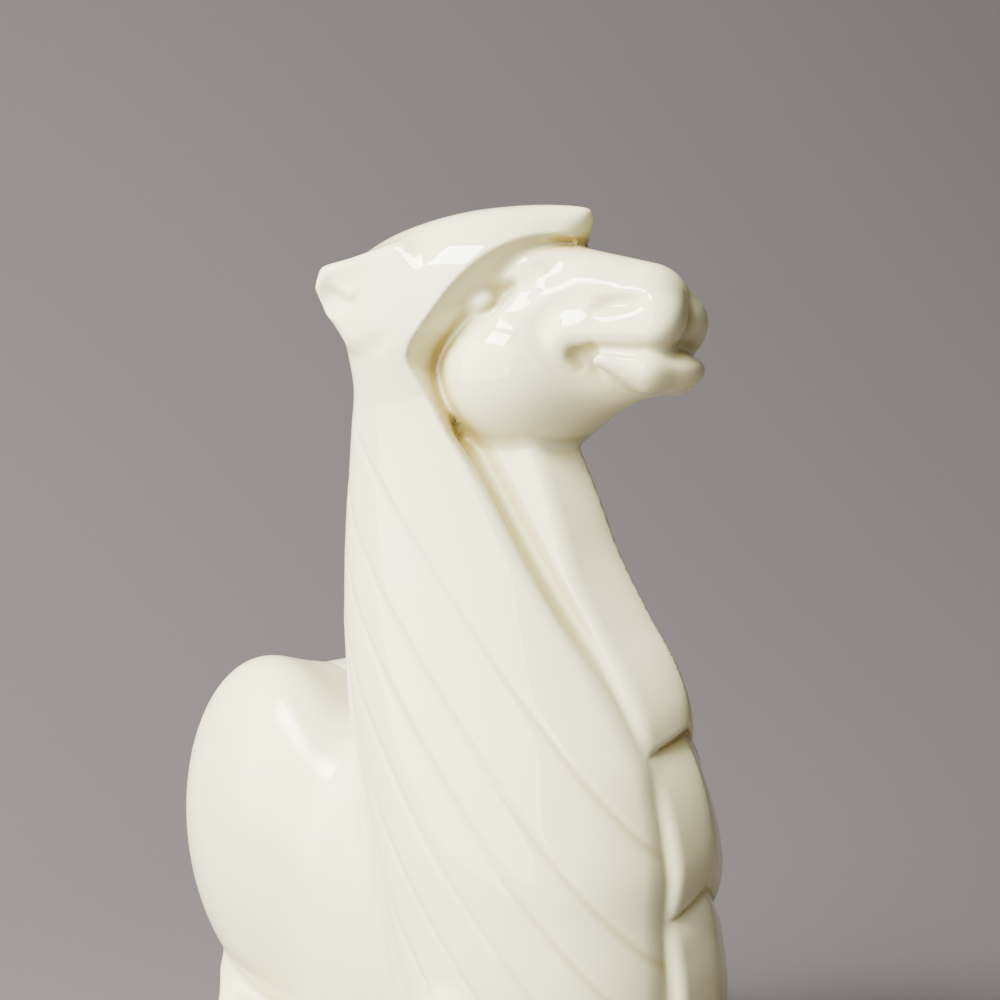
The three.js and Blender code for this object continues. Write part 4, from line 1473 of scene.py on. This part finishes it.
@dataclass
class Pottery:
    """Parts the sculpted figure into its castings and dresses each one."""

    figure: Figure
    sculptor: Sculptor
    grain: float  # size of the figure's faces, in millimetres
    skin_tolerance: float = 0.10  # a vertex no further off, in millimetres, is on the skin
    # how far across a hollow is looked for, in millimetres, and its share in the glaze pooling and
    # painted shade
    pooling_and_shade_reaches: tuple[tuple[float, float], ...] = ((0.7, 0.25), (2.0, 0.45), (4.5, 0.4))
    under_ground: float = -5.0

    def dress(
        self, name: str, mesh: bpy.types.Mesh, finish: bpy.types.Material
    ) -> bpy.types.Object:
        """Makes a casting of a cut mesh and puts it in the place of its plain solid.

        Args:
            name: Name of the casting.
            mesh: Its closed mesh.
            finish: Its material.

        Returns:
            The finished piece.
        """
        points = places_of(mesh)
        value, slope = slope_at(self.figure.depth, points)
        steep = np.sqrt((slope * slope).sum(-1)) + TINY
        normal = slope / steep[:, None]
        smooth = self._smooth(mesh, normal, np.abs(value) < self.skin_tolerance)
        # stores where glaze pools and where shade is painted into hollows and creases
        self._store(mesh, "pool_and_shade", self._shaded_hollows(points, normal, steep))
        if name == "neck_casting":
            level, strength = self.figure.mantle.flute_level(turned(points))
            self._store(mesh, "level", level)
            self._store(mesh, "strength", strength)
        mesh.materials.clear()
        mesh.materials.append(finish)
        obj = linked("glazed_" + name, mesh)
        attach(obj, "root")
        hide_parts(name)
        LOG.info("%s: %d faces, %d on the skin", name, len(mesh.polygons), smooth)
        return obj

    @staticmethod
    def _smooth(mesh: bpy.types.Mesh, normal: Array, on_skin: Array) -> int:
        """Gives the skin's faces the form's own normals, and leaves the cut faces flat.

        Args:
            mesh: The casting's mesh.
            normal: The form's normal at each vertex, in the figure's frame.
            on_skin: Which vertices lie on the form's skin.

        Returns:
            How many faces are on the skin.
        """
        corner = np.empty(len(mesh.loops), np.int32)
        mesh.loops.foreach_get("vertex_index", corner)
        starts = np.empty(len(mesh.polygons), np.int32)
        mesh.polygons.foreach_get("loop_start", starts)
        totals = np.empty(len(mesh.polygons), np.int32)
        mesh.polygons.foreach_get("loop_total", totals)
        flat = np.empty(len(mesh.polygons) * 3)
        mesh.polygons.foreach_get("normal", flat)
        flat = flat.reshape(-1, 3)
        skin_faces = np.minimum.reduceat(on_skin[corner], starts).astype(bool)
        world = np.stack([-normal[:, 1], -normal[:, 0], normal[:, 2]], -1)
        facing = (np.add.reduceat(world[corner], starts) * flat).sum(-1) / totals
        skin_faces &= facing > 0.5
        owner = np.repeat(np.arange(len(starts)), totals)
        loops = np.where(skin_faces[owner][:, None], world[corner], flat[owner])
        mesh.polygons.foreach_set("use_smooth", np.ones(len(mesh.polygons), bool))
        mesh.normals_split_custom_set(loops.tolist())
        return int(skin_faces.sum())

    def _shaded_hollows(self, points: Array, normal: Array, steep: Array) -> Array:
        """Finds hollows and creases, where glaze pools and where shade is painted.

        Args:
            points: Points on the skin.
            normal: The form's normal at each.
            steep: How fast the depth rises at each.

        Returns:
            How strongly it pools and is painted shaded at each, from 0 to 1.
        """
        found = np.zeros(len(points))
        for reach, share in self.pooling_and_shade_reaches:
            there = self.figure.depth(points + normal * reach) / steep
            found += share * np.clip((reach - there) / reach, 0, 1)
        return np.clip(found, 0, 1)

    @staticmethod
    def _store(mesh: bpy.types.Mesh, name: str, values: Array) -> None:
        """Keeps a value for each vertex."""
        kept = mesh.attributes.new(name, "FLOAT", "POINT")
        kept.data.foreach_set("value", values.astype(np.float32))

    def _room(
        self,
        lay: Callable[[Clay], None],
        depth: Callable[[Array], Array],
        room: tuple[float, float],
        head: bool,
    ) -> bpy.types.Mesh:
        """Makes a closed form round one casting, that parts it from its neighbours.

        Args:
            lay: Lays the casting's rough clay.
            depth: Depth outside the casting.
            room: How far the form stands off the casting, and its faces' size, in millimetres.
            head: Whether the casting is given in the frame of the turned head and neck.

        Returns:
            The closed form.
        """
        grow, grain = room
        clay = Clay(unturned if head else None)
        lay(clay)
        placed = (lambda p: depth(turned(p)) - grow) if head else (lambda p: depth(p) - grow)
        return self.sculptor.skin(clay, placed, (grain * 1.5, grain))

    def _round(
        self, form: Any, room: tuple[float, float], head: bool, side: int = 0
    ) -> Callable[[], bpy.types.Mesh]:
        """Plans the room round a form.

        Args:
            form: The form, which can lay itself and tell its depth.
            room: How far the room stands off, and the size of its faces, in millimetres.
            head: Whether the form is given in the frame of the turned head and neck.
            side: 1 or -1 for one side of the animal, 0 for the whole form.

        Returns:
            What makes the room.
        """
        lay = (lambda clay: form.lay(clay, (side,))) if side else form.lay
        return lambda: self._room(lay, form.depth, room, head)

    def _neck_room(self) -> bpy.types.Mesh:
        """A closed form round the neck, that parts it from the trunk."""
        mantle = self.figure.mantle
        return self._room(mantle.lay, lambda q: mantle.depth(q, self.figure.ears), (0.8, 1.2), True)

    def part(self) -> list[bpy.types.Object]:
        """Sculpts the figure and parts it.

        Returns:
            The finished pieces.
        """
        fig = self.figure
        rest = self.sculptor.skin(fig.lay(), fig.depth, (self.grain * 2, self.grain))
        LOG.info("whole figure: %d faces", len(rest.polygons))
        glaze = IvoryGlaze().material()
        fluted = IvoryGlaze(flutes=fig.mantle.flutes).material()
        softer = IvoryGlaze(name="ivory_glaze_soft", roughness=0.2).material()
        bisque = SoleBisque().material()
        limb_room = (0.75, 1.0)
        sides = (("left", -1), ("right", 1))
        steps: list[tuple[str, Callable[[], bpy.types.Mesh], bpy.types.Material]] = []
        for side, sign in sides:
            steps += [
                ("hind_leg_" + side, self._round(fig.hind_leg, limb_room, False, sign), glaze),
                ("foreleg_" + side, self._round(fig.foreleg, limb_room, True, sign), glaze),
            ]
        steps += [
            ("tail", self._round(fig.tail, (0.4, 1.0), False), glaze),
            ("sole_slab", lambda: block(self.under_ground, SOLE), bisque),
        ]
        for side, sign in sides:
            steps.append(("ear_" + side, self._round(fig.ears, (0.75, 0.7), True, sign), glaze))
        steps += [
            ("face_casting", self._round(fig.face, (0.22, 0.9), True), glaze),
            ("throat_locks", self._round(fig.throat, (0.25, 0.9), True), glaze),
            ("hood_casting", lambda: block(NECK_SEAM, NECK_SEAM + 60), glaze),
            ("neck_casting", self._neck_room, fluted),
        ]
        pieces = []
        for name, tool, finish in steps:
            mesh = tool()
            piece = cut(rest, mesh, Cut.KEEP_INSIDE)
            rest = cut(rest, mesh, Cut.TAKE_AWAY)
            slot = "sole_bisque" if finish == bisque else "ivory_glaze"
            pieces.append(self.dress(name, piece, finish))
        pieces.append(self.dress("trunk_casting", rest, softer))
        return pieces


# Studio


@dataclass(frozen=True)
class Lamp:
    """A soft box, given by where it hangs and what it points at, in metres."""

    name: str
    at: Triple
    aim: Triple
    size: tuple[float, float]
    power: float

    def hang(self) -> None:
        """Hangs the lamp in the studio."""
        light = bpy.data.lights.new(self.name, "AREA")
        light.shape = "RECTANGLE"
        light.size, light.size_y = self.size
        light.energy = self.power
        obj = bpy.data.objects.new(self.name, light)
        obj.location = self.at
        sight = Vector(self.aim) - Vector(self.at)
        obj.rotation_euler = sight.to_track_quat("-Z", "Y").to_euler()
        bpy.context.scene.collection.objects.link(obj)


@dataclass
class Studio:
    """A pale floor that sweeps up behind the figure, soft lamps and the camera."""

    azimuth: float = math.radians(-33.0)
    distance: float = 0.3079
    look_height: float = 0.107
    view_angle: float = math.radians(30.0)
    sensor: float = 36.0  # width of the camera's sensor, in millimetres
    floor_half: float = 3.0  # how far the floor runs to each side and to the front
    floor_back: float = 0.15  # where it starts to sweep up
    sweep: float = 1.0  # radius of the sweep
    floor_colour: tuple[float, ...] = rgb(93, 86, 86)
    floor_roughness: float = 0.9
    fill: float = 0.14  # strength of the light from all round

    def pivot(self) -> Vector:
        """The point on the neck's axis that the camera looks at."""
        return Vector((CENTRING[0] * MM, CENTRING[1] * MM, self.look_height))

    def away(self, along: float, right: float, up: float) -> Triple:
        """Finds a place as seen from the camera.

        Args:
            along: Reach from the pivot towards the camera, in metres.
            right: Reach to the camera's right.
            up: Reach upwards.

        Returns:
            The place.
        """
        back = Vector((math.sin(self.azimuth), -math.cos(self.azimuth), 0))
        side = Vector((math.cos(self.azimuth), math.sin(self.azimuth), 0))
        place = self.pivot() + back * along + side * right + Vector((0, 0, up))
        return (place.x, place.y, place.z)

    def camera(self) -> None:
        """Sets up the camera at the photograph's angle."""
        data = bpy.data.cameras.new("camera")
        data.sensor_width = self.sensor
        data.lens = self.sensor / 2 / math.tan(self.view_angle / 2)
        data.clip_start, data.clip_end = 0.01, 20.0
        obj = bpy.data.objects.new("camera", data)
        obj.location = self.away(self.distance, 0, 0)
        sight = self.pivot() - Vector(obj.location)
        obj.rotation_euler = sight.to_track_quat("-Z", "Y").to_euler()
        bpy.context.scene.collection.objects.link(obj)
        bpy.context.scene.camera = obj

    def floor(self) -> None:
        """Lays the pale floor, with its far side swept up into a backdrop."""
        bm = bmesh.new()

        def pulled(edges: Sequence[bmesh.types.BMEdge], move: Triple) -> None:
            """Pulls a strip out of edges.

            Args:
                edges: The edges.
                move: How far it is pulled.
            """
            made = bmesh.ops.extrude_edge_only(bm, edges=edges)["geom"]
            verts = [g for g in made if isinstance(g, bmesh.types.BMVert)]
            bmesh.ops.translate(bm, verts=verts, vec=move)

        def edges_past(y: float) -> list[bmesh.types.BMEdge]:
            """The edges that lie wholly past a line across the floor."""
            return [e for e in bm.edges if all(v.co.y > y for v in e.verts)]

        half, back = self.floor_half, self.floor_back
        edge = [bm.verts.new((-half, y, 0.0)) for y in (-half, back)]
        pulled([bm.edges.new(edge)], (2 * half, 0, 0))
        bmesh.ops.spin(
            bm,
            geom=edges_past(back - 0.05),
            cent=(0, back, self.sweep),
            axis=(1, 0, 0),
            dvec=(0, 0, 0),
            angle=math.pi / 2,
            steps=32,
            use_duplicate=False,
        )
        pulled(edges_past(back + self.sweep - 0.001), (0, 0, half))
        turn = Matrix.Rotation(self.azimuth, 3, "Z")
        bmesh.ops.rotate(bm, verts=bm.verts, cent=(0, 0, 0), matrix=turn)
        bmesh.ops.recalc_face_normals(bm, faces=bm.faces)
        for face in bm.faces:
            face.smooth = True
        mesh = bpy.data.meshes.new("floor")
        bm.to_mesh(mesh)
        bm.free()
        tree = Tree("pale_floor")
        finish = {"Base Color": self.floor_colour, "Roughness": self.floor_roughness}
        tree.feed(tree.shader, finish)
        mesh.materials.append(tree.material)
        linked("floor", mesh)

    def light(self) -> None:
        """Lights the figure with soft boxes and a faint even fill."""
        world = bpy.data.worlds.new("studio")
        bpy.context.scene.world = world
        world.use_nodes = True
        fill = world.node_tree.nodes["Background"].inputs
        fill["Color"].default_value = (1.0, 0.99, 0.97, 1.0)
        fill["Strength"].default_value = self.fill
        aim = self.away(0, 0, 0.02)
        for name, place, size, power in (
            ("window", (0.36, -0.60, 0.78), (0.46, 0.28), 35.0),
            ("overhead", (-0.2, -0.2, 1.2), (1.6, 1.4), 2.0),
            ("left_card", (0.7, -1.3, 0.35), (2.0, 1.8), 112.0),
        ):
            Lamp(name, self.away(*place), aim, size, power).hang()


def main() -> None:
    logging.basicConfig(level=logging.INFO, format="%(name)s %(message)s")
    studio = Studio()
    studio.camera()
    pottery = Pottery(Figure(), Sculptor(), grain=0.5)
    for piece in pottery.part():
        LOG.info("made %s", piece.name)
    studio.floor()
    studio.light()


if __name__ == "__main__":
    main()
